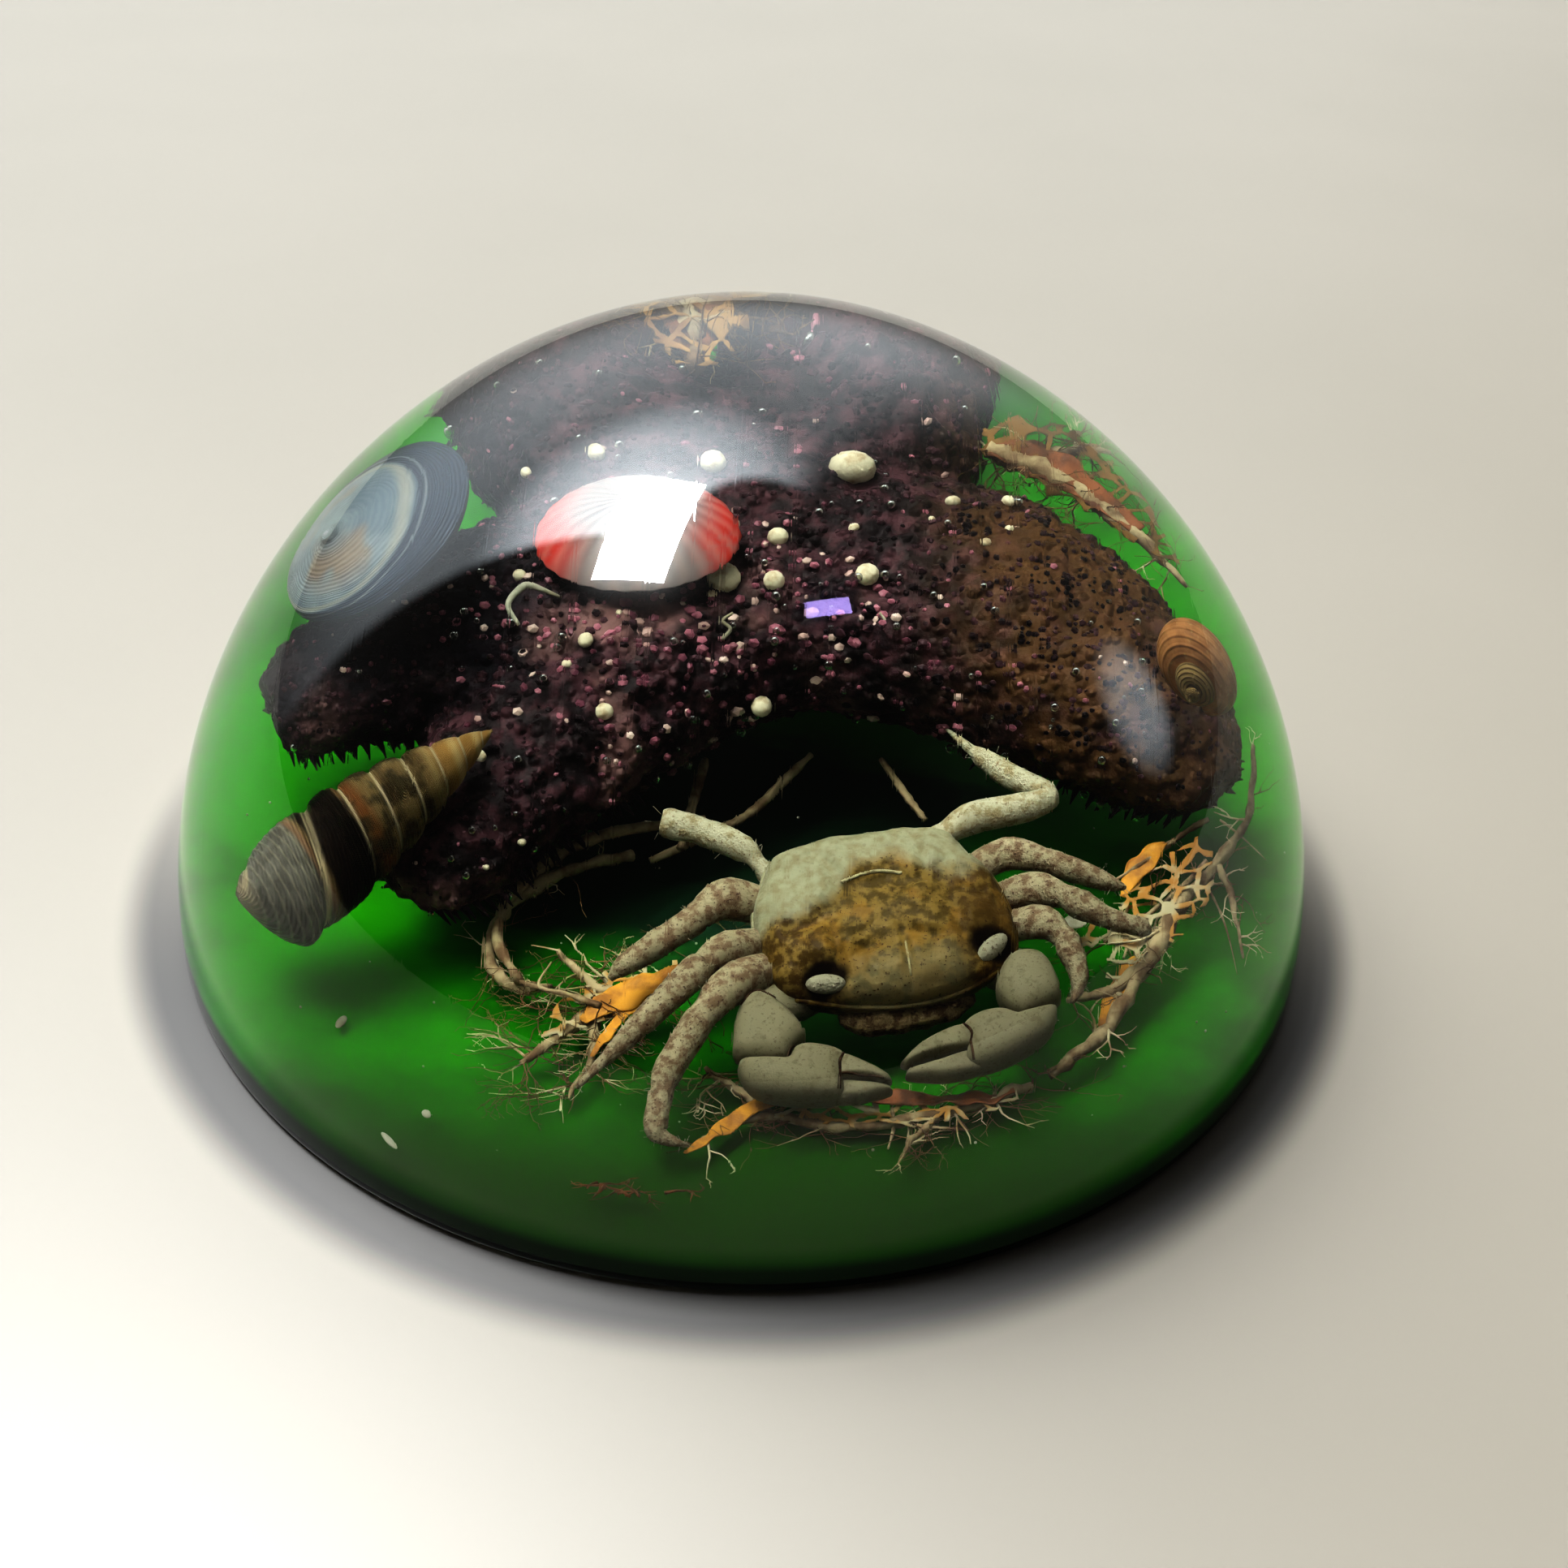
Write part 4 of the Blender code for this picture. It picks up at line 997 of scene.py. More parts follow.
recipe.bump((whorl * 22).fraction().band(0.5, 0.5) + mottle + stripe, 0.07)
clothe(horn, horn_finish)
hand_over(horn, "horn_shell", "horn_shell")

# %% [markdown]
# ## The low round shell
# It is rolled the same way, from the raised point out to the rim and back to the middle of its underside.

# %% Low round shell
BUTTON_PLACE = (-20.4, 1.2, 19.6)
BUTTON_TILT = (4.0, -33.0, 0.0)
BUTTON_RADIUS = 6.2
BUTTON_HEIGHT = 3.2
BUTTON_LEAN = (2.2, 0.6)
BUTTON_LINE = [(0, 1.16), (0.085, 1.10), (0.12, 0.93), (0.30, 0.80), (0.55, 0.60), (0.74, 0.43),
               (0.84, 0.32), (0.93, 0.21), (1.0, 0.0), (0.95, -0.22), (0.80, -0.44), (0.45, -0.60),
               (0, -0.64)]


def button_form(along, around):
    place = along * (len(BUTTON_LINE) - 1)
    index = min(int(place), len(BUTTON_LINE) - 2)
    share = place - index
    share = share * share * (3 - 2 * share) * 0.5 + share * 0.5
    radius = BUTTON_LINE[index][0] * (1 - share) + BUTTON_LINE[index + 1][0] * share
    height = BUTTON_LINE[index][1] * (1 - share) + BUTTON_LINE[index + 1][1] * share
    angle = 2 * math.pi * around
    wobble = 1 + 0.02 * math.sin(angle * 2 + 0.6) + 0.006 * math.sin(angle * 7)
    radius = max(0.004, radius) * BUTTON_RADIUS * wobble
    lift = max(0.0, height)
    return (math.cos(angle) * radius - BUTTON_LEAN[0] * lift,
            math.sin(angle) * radius - BUTTON_LEAN[1] * lift,
            height * BUTTON_HEIGHT)


button = rolled("round_shell", 90, 96, button_form)
button.data.transform(placing(BUTTON_PLACE, BUTTON_TILT))
smooth(button)
button_finish, recipe = finish("blue grey shell", 0.22, Specular_IOR_Level=0.15)
along, around, unused = recipe.split(recipe.where("UV"))
where = recipe.where()
mist = recipe.clouds(where, 3.4, 4.0)
colour = recipe.mix(mist.rise(0.38, 0.64), (0.080, 0.112, 0.145), (0.155, 0.188, 0.215))
tan = recipe.clouds(where, 5.5, 2.0).rise(0.46, 0.58) * along.band(0.30, 0.16)
colour = recipe.mix(tan * 0.8, colour, (0.19, 0.125, 0.075))
rings = (along * 60 + mist * 2).fraction().band(0.5, 0.5)
colour = recipe.mix(rings * 0.10, colour, (0.27, 0.29, 0.29))
edge = along + (around * (2 * math.pi)).maths("COSINE", around * (2 * math.pi)) * 0.105
colour = recipe.mix(edge.band(0.475, 0.035) * 0.75, colour, (0.24, 0.23, 0.20))
colour = recipe.mix(edge.rise(0.49, 0.52), colour, (0.020, 0.030, 0.050))
colour = recipe.mix(edge.band(0.555, 0.012) * 0.5, colour, (0.22, 0.24, 0.26))
colour = recipe.mix(1 - along.rise(0.02, 0.05), colour, (0.30, 0.32, 0.34))
recipe.feed("Base Color", colour)
recipe.bump(rings, 0.03)
clothe(button, button_finish)
hand_over(button, "button_shell", "button_shell")

# %% [markdown]
# ## The brown snail
# The coil is one tube that widens as it winds down, rolled from a grid, so growth lines run around it.

# %% Brown snail
SNAIL_PLACE = (25.2, -8.2, 21.2)
SNAIL_SIZE = 4.0
SNAIL_AXIS = Vector((-0.10, -0.98, -0.02))
SNAIL_ROLL = 116.0
SNAIL_TURNS = 3.4


def snail_form(along, around):
    grown = along ** 1.15
    angle = 2 * math.pi * SNAIL_TURNS * (along - 1) + 2 * math.pi * 2.6
    growth = 0.05 + 0.95 * grown ** 1.7
    reach = 0.50 * growth * SNAIL_SIZE
    height = (0.95 - 1.15 * grown ** 1.35) * SNAIL_SIZE
    half = 0.62 * growth * SNAIL_SIZE * (1 - 0.9 * max(0.0, (along - 0.985) / 0.015) ** 2)
    turn = 2 * math.pi * around
    out = reach + half * math.cos(turn)
    return math.cos(angle) * out, -math.sin(angle) * out, height + half * math.sin(turn) * 0.95


snail = rolled("coiled_snail", 260, 44, snail_form)
snail.data.transform(placing((0, 0, 0), (0, 0, SNAIL_ROLL)))
snail.data.transform(SNAIL_AXIS.to_track_quat("Z", "Y").to_matrix().to_4x4())
snail.data.transform(placing(SNAIL_PLACE))
smooth(snail)
snail_finish, recipe = finish("brown shell", 0.30)
along, around, unused = recipe.split(recipe.where("UV"))
where = recipe.where()
mottle = recipe.clouds(where, 1.6, 4.0)
colour = recipe.mix(mottle.rise(0.4, 0.62), (0.25, 0.105, 0.036), (0.38, 0.180, 0.072))
colour = recipe.mix(1 - along.rise(0.60, 0.74), colour, (0.26, 0.175, 0.075))
lines = (around * 18).fraction().band(0.5, 0.3)
colour = recipe.mix(lines * (1 - along.rise(0.62, 0.80)) * 0.75, colour, (0.085, 0.045, 0.018))
colour = recipe.mix(recipe.clouds(where, 0.5).rise(0.60, 0.7) * 0.5, colour, (0.44, 0.30, 0.14))
recipe.feed("Base Color", colour)
recipe.bump(lines + mottle, 0.09)
clothe(snail, snail_finish)
hand_over(snail, "brown_snail", "brown_snail")

# %% [markdown]
# ## The red valve
# One half of a small clam lies on the starfish. A wall is given to its rolled skin by Solidify.

# %% Red valve
VALVE_PLACE = (-6.0, 1.3, 18.9)
VALVE_TURN = (14.0, -6.0, 0.0)
VALVE_HALF = (5.2, 3.4)
VALVE_RISE = 1.7
VALVE_WALL = 0.6


def valve_form(along, around):
    angle = 2 * math.pi * around
    reach = math.sin(math.pi / 2 * along)
    height = math.cos(math.pi / 2 * along) ** 1.15
    ribs = 1 + 0.012 * along * math.cos(angle * 26)
    x, y = math.cos(angle) * reach * ribs, math.sin(angle) * reach * ribs
    return x * VALVE_HALF[0], (y + 0.45 * height) * VALVE_HALF[1], height * VALVE_RISE


bpy.ops.object.select_all(action="DESELECT")
bpy.ops.mesh.primitive_grid_add(x_subdivisions=40, y_subdivisions=104, size=1)
valve = bpy.context.object
valve.name = "red_valve"
for vertex in valve.data.vertices:
    vertex.co = Vector(valve_form(vertex.co.x + 0.5, vertex.co.y + 0.5)) * MM
edit(valve, lambda: bpy.ops.mesh.remove_doubles(threshold=2e-6),
     lambda: bpy.ops.mesh.normals_make_consistent(inside=False))
wall = valve.modifiers.new("wall", "SOLIDIFY")
wall.thickness = VALVE_WALL * MM
wall.offset = -1.0
settle(valve)
valve.data.transform(placing(VALVE_PLACE, VALVE_TURN))
smooth(valve)
valve_finish, recipe = finish("red shell", 0.35)
along, around, unused = recipe.split(recipe.where("UV"))
where = recipe.where()
sides = abs((around * (2 * math.pi)).maths("COSINE", around * (2 * math.pi))).rise(0.50, 0.92)
ribs = (around * 26).fraction().band(0.5, 0.5)
streak = recipe.clouds(where, 1.2, 4.0)
red = sides * along.rise(0.30, 0.70) * (streak.rise(0.25, 0.5) * 0.5 + 0.5)
colour = recipe.mix(red, (0.175, 0.150, 0.150), (0.36, 0.030, 0.022))
colour = recipe.mix(ribs * 0.22, colour, (0.42, 0.27, 0.24))
recipe.feed("Base Color", colour)
recipe.bump(ribs, 0.06)
clothe(valve, valve_finish)
hand_over(valve, "red_shell", "red_shell")

# %% [markdown]
# ## The seaweed
# Dried weed is a stem, flat orange fronds and a mass of pale branching fibres. The stems follow the CAD
# model's middle lines. Each twig leaves a stem and forks a few times, a torn film or a net of lace is a sheet
# along a line of its own, and all are kept inside the resin and above the green layer.

# %% Seaweed
STEMS = {
    "weed_right": [
        [(28.6, -6.4, 13.6, 0.35), (27.9, -8.8, 10.4, 0.45), (24.8, -10.6, 7.4, 0.6),
         (23.0, -13.0, 6.8, 0.7), (21.2, -17.6, 6.0, 0.75), (19.2, -21.8, 5.2, 0.65),
         (16.4, -24.4, 4.6, 0.5)],
        [(22.4, -14.4, 6.6, 0.5), (20.6, -14.6, 6.0, 0.4), (18.6, -13.6, 5.2, 0.2)],
        [(21.4, -17.2, 6.1, 0.5), (19.0, -18.8, 5.6, 0.45), (17.0, -18.8, 5.2, 0.2)],
        [(25.4, -10.4, 7.8, 0.45), (26.6, -12.0, 6.4, 0.35), (28.0, -15.4, 5.2, 0.15)],
    ],
    "weed_front": [
        [(15.6, -25.0, 4.2, 0.45), (12.0, -27.0, 4.2, 0.45), (6.0, -28.4, 4.0, 0.45),
         (1.4, -27.6, 4.0, 0.4), (-1.6, -29.6, 4.0, 0.15)],
        [(10.8, -27.4, 4.2, 0.35), (9.2, -29.6, 4.0, 0.3), (8.8, -31.2, 3.9, 0.15)],
        [(2.2, -27.8, 4.0, 0.35), (0.0, -25.6, 4.2, 0.35), (-1.6, -24.6, 4.6, 0.2)],
    ],
    "weed_left": [
        [(1.6, -16.2, 5.4, 0.7), (-1.8, -18.0, 5.4, 0.9), (-5.0, -19.6, 5.2, 0.85),
         (-8.2, -21.4, 4.8, 0.65), (-11.2, -24.6, 4.4, 0.2)],
        [(-5.4, -19.8, 5.2, 0.55), (-7.6, -19.2, 5.6, 0.4), (-9.4, -17.0, 6.0, 0.2)],
        [(-7.4, -21.0, 4.9, 0.45), (-7.6, -24.0, 4.4, 0.3), (-8.8, -26.8, 4.0, 0.15)],
    ],
    "weed_loop": [
        [(-5.8, -8.4, 5.4, 0.4), (-9.2, -10.2, 5.6, 0.5), (-12.2, -13.2, 5.2, 0.55),
         (-12.9, -16.2, 4.6, 0.5), (-11.6, -18.0, 4.3, 0.45), (-9.6, -17.9, 4.2, 0.2)],
    ],
    "weed_tuft": [
        [(-3.0, 15.0, 18.4, 0.5), (-3.0, 17.6, 17.6, 1.0), (-3.0, 20.6, 16.2, 0.9),
         (-3.2, 23.4, 14.2, 0.3)],
        [(-3.0, 17.8, 17.4, 0.7), (-5.6, 19.4, 17.2, 0.6), (-7.6, 20.4, 16.4, 0.2)],
        [(-3.0, 18.2, 17.2, 0.7), (0.0, 19.6, 17.4, 0.6), (2.0, 21.4, 16.8, 0.2)],
    ],
    "weed_sprig": [
        [(10.4, 14.6, 13.8, 0.5), (12.4, 13.8, 13.6, 0.7), (15.4, 12.0, 13.4, 0.6), (19.0, 9.4, 13.0, 0.5),
         (22.0, 6.4, 12.8, 0.2)],
        [(12.8, 13.8, 13.5, 0.45), (14.4, 15.4, 12.6, 0.4), (16.2, 16.4, 11.6, 0.15)],
    ],
}
REPLACED = {
    "weed_right": "seaweed_right_stem", "weed_front": "seaweed_front_mat",
    "weed_left": "seaweed_left_branch", "weed_loop": "seaweed_loop",
    "weed_tuft": "seaweed_back_tuft", "weed_sprig": "seaweed_back_sprig",
}
# For each weed: how many pale and how many brown twigs, their length, half thickness and how freely they rise
TWIGS = {
    "weed_right": (26, 26, 4.2, 0.11, 0.6), "weed_front": (22, 60, 4.4, 0.085, 0.2),
    "weed_left": (34, 60, 5.2, 0.095, 0.35), "weed_loop": (8, 20, 3.4, 0.07, 0.5),
    "weed_tuft": (16, 80, 3.8, 0.08, 0.9), "weed_sprig": (10, 60, 3.6, 0.08, 0.9),
}
WEED_FLOOR = 3.35


def kept_inside(point):
    """Moves a point back between the green layer and the dome's skin."""
    point.z = max(point.z, WEED_FLOOR)
    room = dome_radius(point.z) - 1.6
    reach = point.xy.length
    if reach > room:
        point.xy *= room / reach
    return point


def twig(draw, start, way, length, half, level, forks=2):
    """A crooked branch and its forks, each a path of x, y, z and half thickness."""
    steps = max(3, int(length / 0.6))
    path, found, here = [(*start, half)], [], start.copy()
    for step in range(steps):
        way = (way + Vector([draw.uniform(-1, 1) for axis in range(3)]) * 0.42).normalized()
        way.z *= level
        here = kept_inside(here + way * length / steps)
        left = 1 - (step + 1) / steps
        path.append((*here, half * (0.3 + 0.7 * left) * draw.uniform(0.8, 1.2)))
        if forks and draw.random() < 0.34:
            side = way.cross(Vector((0, 0, 1))) * draw.choice((-1, 1)) * draw.uniform(0.6, 1.3)
            found += twig(draw, here.copy(), way + side, length * left * 0.7 + 0.5, half * 0.66, level,
                          forks - 1)
    return [path] + found


def twigs_of(draw, lines, count, length, half, level):
    """Branches from random places of the stems."""
    points = [point for line in lines for point in smooth_path(line, 8)]
    found = []
    for number in range(count):
        start = draw.choice(points).xyz
        way = Vector([draw.uniform(-1, 1), draw.uniform(-1, 1), draw.uniform(-1, 1) * level]).normalized()
        found += twig(draw, start, way, length * draw.uniform(0.3, 1.3), half * draw.uniform(0.6, 1.3),
                      level)
    return found


def sheet(name, line, wave=0.5):
    """A thin wavy sheet along a line, whose fourth number is half its width."""
    path = smooth_path(line, 8)
    bpy.ops.object.select_all(action="DESELECT")
    bpy.ops.mesh.primitive_grid_add(x_subdivisions=len(path) - 1, y_subdivisions=6, size=1)
    made = bpy.context.object
    made.name = name
    for vertex in made.data.vertices:
        step = round((vertex.co.x + 0.5) * (len(path) - 1))
        here = path[step]
        ahead = (path[min(step + 1, len(path) - 1)] - path[max(step - 1, 0)]).xyz
        across = ahead.cross(Vector((0, 0, 1))).normalized()
        ragged = 1 + 0.35 * noise.noise(here.xyz * 1.3 + across * vertex.co.y)
        point = here.xyz + across * (vertex.co.y * 2 * here[3] * ragged)
        point.z += wave * noise.noise(point * 0.8)
        vertex.co = kept_inside(point) * MM
    wall = made.modifiers.new("wall", "SOLIDIFY")
    wall.thickness = 0.05 * MM
    return settle(made)


def weed_finish(name, pale, deep, roughness=0.55):
    made, recipe = finish(name, roughness)
    where = recipe.where()
    colour = recipe.mix(recipe.clouds(where, 1.8, 4.0).rise(0.38, 0.64), pale, deep)
    recipe.feed("Base Color", colour)
    recipe.bump(recipe.clouds(where, 0.4, 3.0), 0.08)
    return made


stem_finish = weed_finish("weed stem", (0.34, 0.27, 0.165), (0.13, 0.080, 0.045))
pale_twig = weed_finish("pale twig", (0.46, 0.40, 0.27), (0.24, 0.165, 0.080))
brown_twig = weed_finish("brown twig", (0.150, 0.092, 0.042), (0.065, 0.034, 0.020))
film_finish = weed_finish("orange film", (0.50, 0.245, 0.040), (0.27, 0.125, 0.035), 0.35)
rust_finish = weed_finish("rust film", (0.19, 0.070, 0.030), (0.075, 0.035, 0.020), 0.4)


def lace(name, pale, deep):
    """A net of threads: all but the borders of Voronoi cells is left out by Alpha."""
    made, recipe = finish(name, 0.5)
    where = recipe.where()
    web = recipe.cells(recipe.stretch(where, (1, 1.3, 0.4), (0, 0, 35)), 1.5, "DISTANCE_TO_EDGE")
    fray = recipe.clouds(where, 0.9, 3.0)
    recipe.feed("Alpha", 1 - (web + (fray - 0.5) * 0.22).rise(0.075, 0.105))
    recipe.feed("Base Color", recipe.mix(recipe.clouds(where, 2.2, 3.0).rise(0.42, 0.60), pale, deep))
    return made


lace_finish = lace("pale lace", (0.36, 0.31, 0.20), (0.32, 0.165, 0.045))
tuft_lace = lace("tuft lace", (0.27, 0.155, 0.055), (0.15, 0.075, 0.030))
rust_lace = lace("rust lace", (0.155, 0.085, 0.026), (0.075, 0.038, 0.014))

# Sheets of each weed: what they are made of, and their middle lines with half widths
SHEETS = {
    "weed_right": [(film_finish, [(21.9, -9.3, 8.2, 0.25), (20.9, -10.2, 7.8, 0.6),
                                  (20.1, -11.0, 7.4, 0.55), (19.6, -12.2, 7.0, 0.15)]),
                   (film_finish, [(22.0, -15.9, 6.2, 0.15), (20.8, -16.9, 6.0, 0.8),
                                  (19.9, -18.5, 5.7, 0.75), (19.1, -21.2, 5.2, 0.15)]),
                   (lace_finish, [(24.6, -9.4, 8.8, 0.4), (23.4, -11.2, 7.8, 2.0), (21.8, -13.4, 7.0, 2.4),
                                  (20.6, -16.0, 6.2, 1.7), (19.6, -19.0, 5.8, 0.5)]),
                   (lace_finish, [(21.6, -12.4, 6.6, 1.0), (19.0, -13.4, 6.2, 1.2),
                                  (16.8, -15.0, 5.8, 0.9)])],
    "weed_left": [(film_finish, [(-1.6, -19.4, 6.6, 0.3), (-3.6, -19.7, 6.5, 0.9), (-5.6, -20.2, 6.0, 1.0),
                                 (-8.0, -21.8, 5.3, 0.35)]),
                  (film_finish, [(-4.7, -20.6, 6.0, 0.2), (-6.3, -22.1, 5.4, 0.35),
                                 (-7.5, -24.3, 5.0, 0.1)]),
                  (lace_finish, [(-1.2, -18.4, 6.2, 0.6), (-4.6, -19.2, 5.8, 1.7), (-7.8, -20.8, 5.4, 1.3),
                                 (-10.0, -23.0, 4.8, 0.3)])],
    "weed_front": [(rust_finish, [(14.6, -26.0, 4.6, 0.2), (12.5, -26.6, 4.5, 0.6), (9.5, -26.5, 4.5, 0.5),
                                  (6.0, -26.6, 4.5, 0.15)]),
                   (film_finish, [(2.8, -26.4, 4.6, 0.15), (1.0, -27.4, 4.5, 0.45), (-0.8, -29.2, 4.2, 0.4),
                                  (-2.6, -31.2, 4.0, 0.1)]),
                   (lace_finish, [(14.8, -26.2, 4.4, 0.4), (11.0, -27.3, 4.3, 1.1), (6.0, -27.6, 4.2, 1.1),
                                  (2.0, -27.4, 4.2, 0.4)])],
    "weed_tuft": [(rust_finish, [(-3.0, 15.6, 18.4, 0.5), (-3.0, 17.6, 18.0, 1.3), (-3.4, 20.4, 16.6, 1.3),
                                 (-3.2, 23.0, 14.6, 0.5)]),
                  (tuft_lace, [(-3.0, 15.0, 18.6, 0.8), (-3.0, 17.8, 18.2, 2.6), (-3.4, 20.6, 16.8, 2.8),
                               (-3.2, 23.2, 14.8, 1.4)])],
    "weed_sprig": [(rust_finish, [(10.6, 14.4, 14.0, 0.4), (12.6, 14.0, 13.8, 0.9), (15.4, 12.4, 13.6, 0.8),
                                  (19.0, 9.6, 13.2, 0.4)]),
                   (rust_lace, [(9.6, 15.0, 14.0, 0.5), (13.0, 14.6, 13.8, 1.8), (17.0, 12.0, 13.4, 1.6),
                                (21.4, 7.4, 13.0, 0.4)])],
}
# Thin single strands that were followed one by one in the photograph
STRANDS = {
    "weed_right": [[(25.4, -8.7, 9.5, 0.10), (26.8, -9.2, 9, 0.08), (29.3, -10.1, 8, 0.04)],
                   [(24.5, -11.0, 7, 0.12), (25.9, -12.5, 5.6, 0.10), (27.6, -15.9, 4.4, 0.03)],
                   [(24.5, -8.1, 9, 0.22), (23.1, -8.5, 8.4, 0.2), (20.6, -10.3, 7.6, 0.18),
                    (19.2, -11.2, 7.2, 0.12)],
                   [(24.6, -10.4, 8, 0.2), (23.3, -11.7, 7.4, 0.2), (20.6, -14.3, 6.6, 0.18),
                    (20.0, -16.3, 6, 0.12)]],
    "weed_left": [[(-7.1, -21.2, 5.8, 0.22), (-8.8, -20.6, 6.0, 0.18), (-10.3, -20.0, 6.0, 0.12),
                   (-9.7, -18.5, 6.4, 0.06)],
                  [(-6.3, -19.7, 4.6, 0.2), (-8.8, -19.3, 4.8, 0.18), (-11.3, -18.5, 5.0, 0.2)]],
    "weed_front": [[(8.0, -26.5, 4.2, 0.14), (8.2, -28.4, 4.0, 0.12), (8.0, -30.1, 3.9, 0.06)],
                   [(9.5, -28.3, 4.1, 0.12), (12.3, -28.6, 4.0, 0.08)],
                   [(2.2, -26.2, 4.6, 0.2), (5.5, -26.3, 4.4, 0.2), (8.1, -26.1, 4.4, 0.15)]],
    "weed_loop": [[(-2.2, -2.1, 7, 0.25), (-2.7, -4.8, 6.5, 0.35), (-3.3, -8.3, 6, 0.25)],
                  [(3.1, -1.4, 7, 0.2), (1.7, -3.2, 6.5, 0.3), (0.2, -5.1, 6, 0.3), (-2.0, -6.7, 5.6, 0.3),
                   (-4.8, -8.2, 5, 0.25)],
                  [(6.6, -1.6, 7, 0.2), (8.1, -4.2, 6.5, 0.25), (9.0, -5.3, 6, 0.2)],
                  [(-8.2, -3.5, 6.5, 0.15), (-7.2, -4.5, 6, 0.2), (-7.6, -5.1, 5.6, 0.15)],
                  [(-2.1, -5.9, 6, 0.3), (-7.3, -7.5, 6, 0.4), (-11.0, -10.9, 5.8, 0.45),
                   (-12.5, -15.1, 5.4, 0.4), (-11.3, -18.5, 5, 0.3)]],
}


def roughened(point, draw):
    """A knot of a stem, moved a little off its line and thinned."""
    moved = point.xyz + noise.noise_vector(point.xyz * 0.9) * 0.25
    return (*moved, point[3] * draw.uniform(0.50, 0.85))


# Blender's vector noise starts from the clock unless it is given a seed
noise.seed_set(7)
for number, (name, lines) in enumerate(STEMS.items()):
    draw = random.Random(100 + number)
    stems = [[roughened(point, draw) for point in smooth_path(line, 7)] for line in lines]
    stems += [[(*point.xyz, point[3] * draw.uniform(0.6, 1.0)) for point in smooth_path(line, 7)]
              for line in STRANDS.get(name, [])]
    pale, brown, length, half, level = TWIGS[name]
    brown_paths = twigs_of(draw, lines, brown, length, half * 0.6, level)
    pale_paths = twigs_of(draw, lines, pale, length * 0.8, half, level)
    bits = [clothe(strands(name + "_brown", brown_paths, sides=0), brown_twig),
            clothe(strands(name + "_pale", pale_paths, sides=0), pale_twig)]
    for material, line in SHEETS.get(name, []):
        bits.append(clothe(sheet(name + "_sheet", line), material))
    bits.append(clothe(strands(name, stems, sides=2), stem_finish))
    weed = smooth(together(name, bits))
    hand_over(weed, "seaweed", REPLACED[name])

# %% [markdown]
# ## Loose bits
# Small things float free in the resin: white shards, curled threads, a few brown crumbs of weed and specks
# of dust over the green layer.

# %% Loose bits
CURLS = [
    [(-1.6, -3.4, 16.2, 0.10), (-1.2, -3.0, 16.6, 0.10), (-1.6, -2.7, 16.9, 0.10),
     (-1.1, -2.5, 17.3, 0.08)],
    [(6.2, -2.0, 16.0, 0.09), (6.6, -1.7, 16.4, 0.09), (6.3, -1.4, 16.8, 0.07)],
    [(-12.0, -5.0, 18.0, 0.10), (-12.6, -4.1, 18.6, 0.16), (-12.0, -3.2, 19.0, 0.2),
     (-11.4, -2.9, 19.0, 0.18), (-9.9, -3.3, 18.6, 0.08)],
]
SHARDS = [((15.4, -11.1, 8.0), 1.9, 0.5, -8), ((13.0, -11.6, 8.4), 0.5, 0.45, 0),
          ((17.2, -15.0, 7.4), 0.7, 0.6, 40), ((-19.1, -31.7, 3.5), 0.8, 0.3, 120),
          ((-21.1, -21.0, 3.5), 0.7, 0.25, 60), ((-16.5, -28.5, 3.5), 0.3, 0.3, 0)]
DUST = 90
draw = random.Random(41)
flecks = []
for place, long, wide, turn in SHARDS:
    flecks.append(ball("shard", (0, 0, 0), (long, wide, 0.12), 12, 8))
    flecks[-1].data.transform(placing(place, (draw.uniform(-20, 20), draw.uniform(-15, 15), turn)))
curls = strands("curls", [smooth_path(line, 6) for line in CURLS], sides=2)
moves = []
for number in range(DUST):
    turn, reach = draw.uniform(0, 2 * math.pi), 34 * math.sqrt(draw.random())
    size = draw.uniform(0.04, 0.10)
    spot = Vector((math.cos(turn) * reach, math.sin(turn) * reach, 3.4 + 3 * draw.random() ** 3))
    moves.append(at(spot * MM, (0, 0, 1), (size,) * 3))
dust = many("dust", crumb, moves)
brown_line = [(-7.2, -33.6, 3.6, 0.2), (-5.7, -34.7, 3.6, 0.3), (-3.6, -34.2, 3.6, 0.2)]
brown_bits = twigs_of(draw, [brown_line], 14, 1.6, 0.12, 0.1)
shard_finish = weed_finish("pale shard", (0.38, 0.37, 0.30), (0.22, 0.20, 0.14), 0.4)
bits = [clothe(thing, shard_finish) for thing in (*flecks, curls, dust)]
bits.append(clothe(strands("brown_bits", brown_bits, sides=0), rust_finish))
loose = smooth(together("loose_bits", bits))
hand_over(loose, "seaweed")

# %% [markdown]
# ## Air bubbles
# Small bubbles clung to the starfish when the resin was poured. In a clear solid a bubble is a hollow, so
# its skin faces into the hollow, away from the resin; the copies join the dome's mesh.

# %% Bubbles in the dome
BUBBLES = 230
draw = random.Random(23)
moves = []
faces = star.data.polygons
weights = [face.area * (max(0.0, -face.normal.y + 0.4)) for face in faces]
for face in draw.choices(faces, weights=weights, k=BUBBLES):
    half = draw.uniform(0.10, 0.28)
    moves.append(at(face.center + face.normal * half * MM * draw.uniform(0.8, 1.6), (0, 0, 1),
                    (half, half, half)))
bubbles = many("bubbles", pea, moves)
edit(bubbles, lambda: bpy.ops.mesh.normals_make_consistent(inside=True))
clothe(smooth(bubbles), clear_resin)
dome = together("clear_dome", [bubbles, dome])
hand_over(dome, "clear_resin", "resin_dome_upper", "resin_dome_lower")

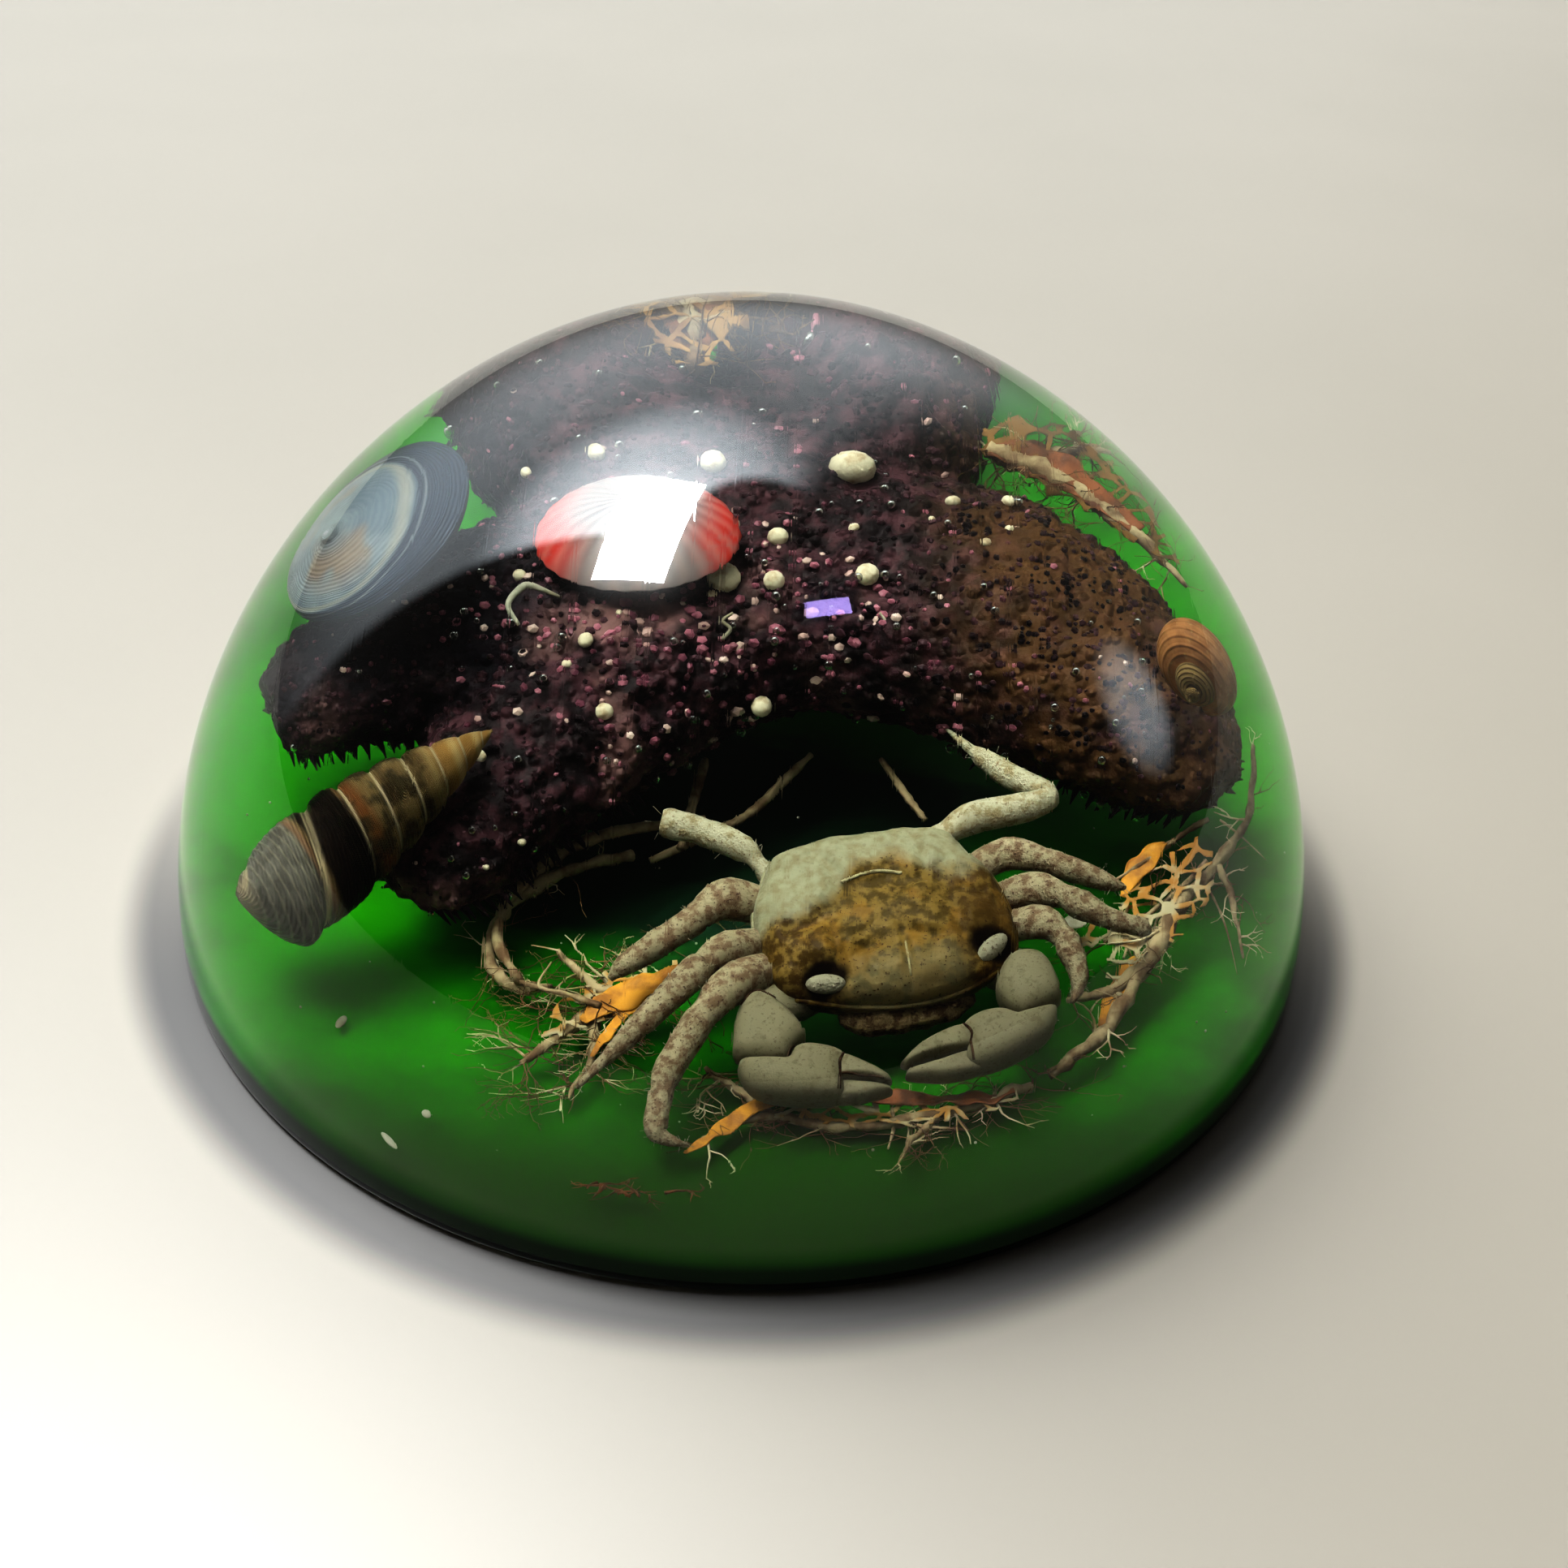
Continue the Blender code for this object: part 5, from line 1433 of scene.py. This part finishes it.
# %% [markdown]
# ## Floor and light
# A plain pale floor carries the paperweight. The photograph has one large soft window behind and to the
# left with a brighter patch in it, a small, much brighter window above it, a faint sheen from the right and
# a dim room in front. The large window belongs to the world, because light that passes through clear resin
# is found only by rays that leave it. The small window and a violet glint are lamps that show in
# reflections alone.

# %% Floor, world and lamps
FLOOR_SIZE = 6.0
# Where the painted contact shadow on the floor starts and ends, in mm from the middle, and how dark it is
CONTACT_SHADE = (41.8, 44.8)
CONTACT_SHADOW_DARKNESS = 0.93

bpy.ops.object.select_all(action="DESELECT")
bpy.ops.mesh.primitive_plane_add(size=FLOOR_SIZE)
floor = bpy.context.object
floor.name = "floor"
floor_finish, recipe = finish("pale floor", 0.5, Specular_IOR_Level=0.3)
where = recipe.where()
x, y, z = recipe.split(where)
tone = recipe.mix(recipe.clouds(where, 60.0, 2.0), (0.445, 0.390, 0.312), (0.495, 0.432, 0.350))
# Painted contact shadow: the floor's colour is darkened in a ring round the dome's foot on the near side
gap = (x * x + y * y) ** 0.5
contact_shadow_ring = 1 - gap.rise(CONTACT_SHADE[0] * MM, CONTACT_SHADE[1] * MM)
near_side = (y * -1).rise(-20 * MM, 20 * MM)
recipe.feed("Base Color", recipe.mix(contact_shadow_ring * near_side * CONTACT_SHADOW_DARKNESS, tone, (0.010, 0.007, 0.006)))
clothe(floor, floor_finish)

WINDOW_AZIMUTH = (-72, -68, 12, 40)
WINDOW_SINE = (-0.10, 0.60, 0.950, 0.966)
WINDOW_LIGHT = 1.9
WINDOW_TINT = (0.90, 0.98, 1.04)
ROOM_TINT = (1.0, 0.95, 0.88)
GLOW_WAY = (-0.335, 0.128, 0.934)
GLOW = (0.84, 0.99)
GLOW_LIGHT = 7.0
SHEEN_WAY = (0.926, 0.197, 0.321)
SHEEN = (0.984, 0.999)
SHEEN_LIGHT = 2.4
ROOM_LIGHT = 0.06
CEILING_LIGHT = 0.08
WALL_LIGHT = 0.18

world = bpy.data.worlds.new("room")
bpy.context.scene.world = world
world.use_nodes = True
sky = Recipe(world.node_tree, world.node_tree.nodes["Background"])
x, y, z = sky.split(sky.where("Generated"))
azimuth = sky.node("ShaderNodeMath", {"operation": "ARCTAN2"}, {0: x, 1: y}) * (180 / math.pi)
across = azimuth.rise(*WINDOW_AZIMUTH[:2])
window = across * (1 - azimuth.rise(*WINDOW_AZIMUTH[2:]))
window = window * z.rise(*WINDOW_SINE[:2]) * (1 - z.rise(*WINDOW_SINE[2:]))
behind = y.rise(-0.2, 0.8)
room = behind * WALL_LIGHT + z.rise(0.3, 0.9) * (CEILING_LIGHT - ROOM_LIGHT) + ROOM_LIGHT
glow = (x * GLOW_WAY[0] + y * GLOW_WAY[1] + z * GLOW_WAY[2]).rise(*GLOW)
sheen = (x * SHEEN_WAY[0] + y * SHEEN_WAY[1] + z * SHEEN_WAY[2]).rise(*SHEEN)
window = window * (glow * (GLOW_LIGHT / WINDOW_LIGHT) + 1) + sheen * (SHEEN_LIGHT / WINDOW_LIGHT)
light = sky.node("ShaderNodeVectorMath", {"operation": "SCALE"},
                 {0: tuple(part * WINDOW_LIGHT for part in WINDOW_TINT), "Scale": window})
ambient = sky.mix(room, (0.0, 0.0, 0.0), ROOM_TINT)
sky.feed("Color", sky.node("ShaderNodeVectorMath", {"operation": "ADD"}, {0: light, 1: ambient}))


def glint(name, azimuth, elevation, distance, size, power, colour, roll=0):
    """A lamp that is seen in reflections only."""
    azimuth, elevation = math.radians(azimuth), math.radians(elevation)
    level = math.cos(elevation)
    way = Vector((math.sin(azimuth) * level, math.cos(azimuth) * level, math.sin(elevation)))
    bpy.ops.object.light_add(type="AREA")
    lamp = bpy.context.object
    lamp.name = name
    lamp.data.shape = "RECTANGLE"
    lamp.data.size, lamp.data.size_y = size
    lamp.data.energy = power
    lamp.data.color = colour
    lamp.location = way * distance + Vector((0, 0, 0.03))
    turn = way.to_track_quat("Z", "Y").to_matrix() @ Matrix.Rotation(math.radians(roll), 3, "Z")
    lamp.rotation_euler = turn.to_euler()
    lamp.visible_diffuse = False
    lamp.visible_transmission = False
    lamp.visible_volume_scatter = False
    return lamp


glint("bright_window", -69, 69, 1.0, (0.36, 0.24), 60.0, (1.0, 1.0, 1.0))
glint("violet_glint", 123, 74, 1.0, (0.15, 0.05), 0.35, (0.55, 0.42, 1.0), roll=-38)
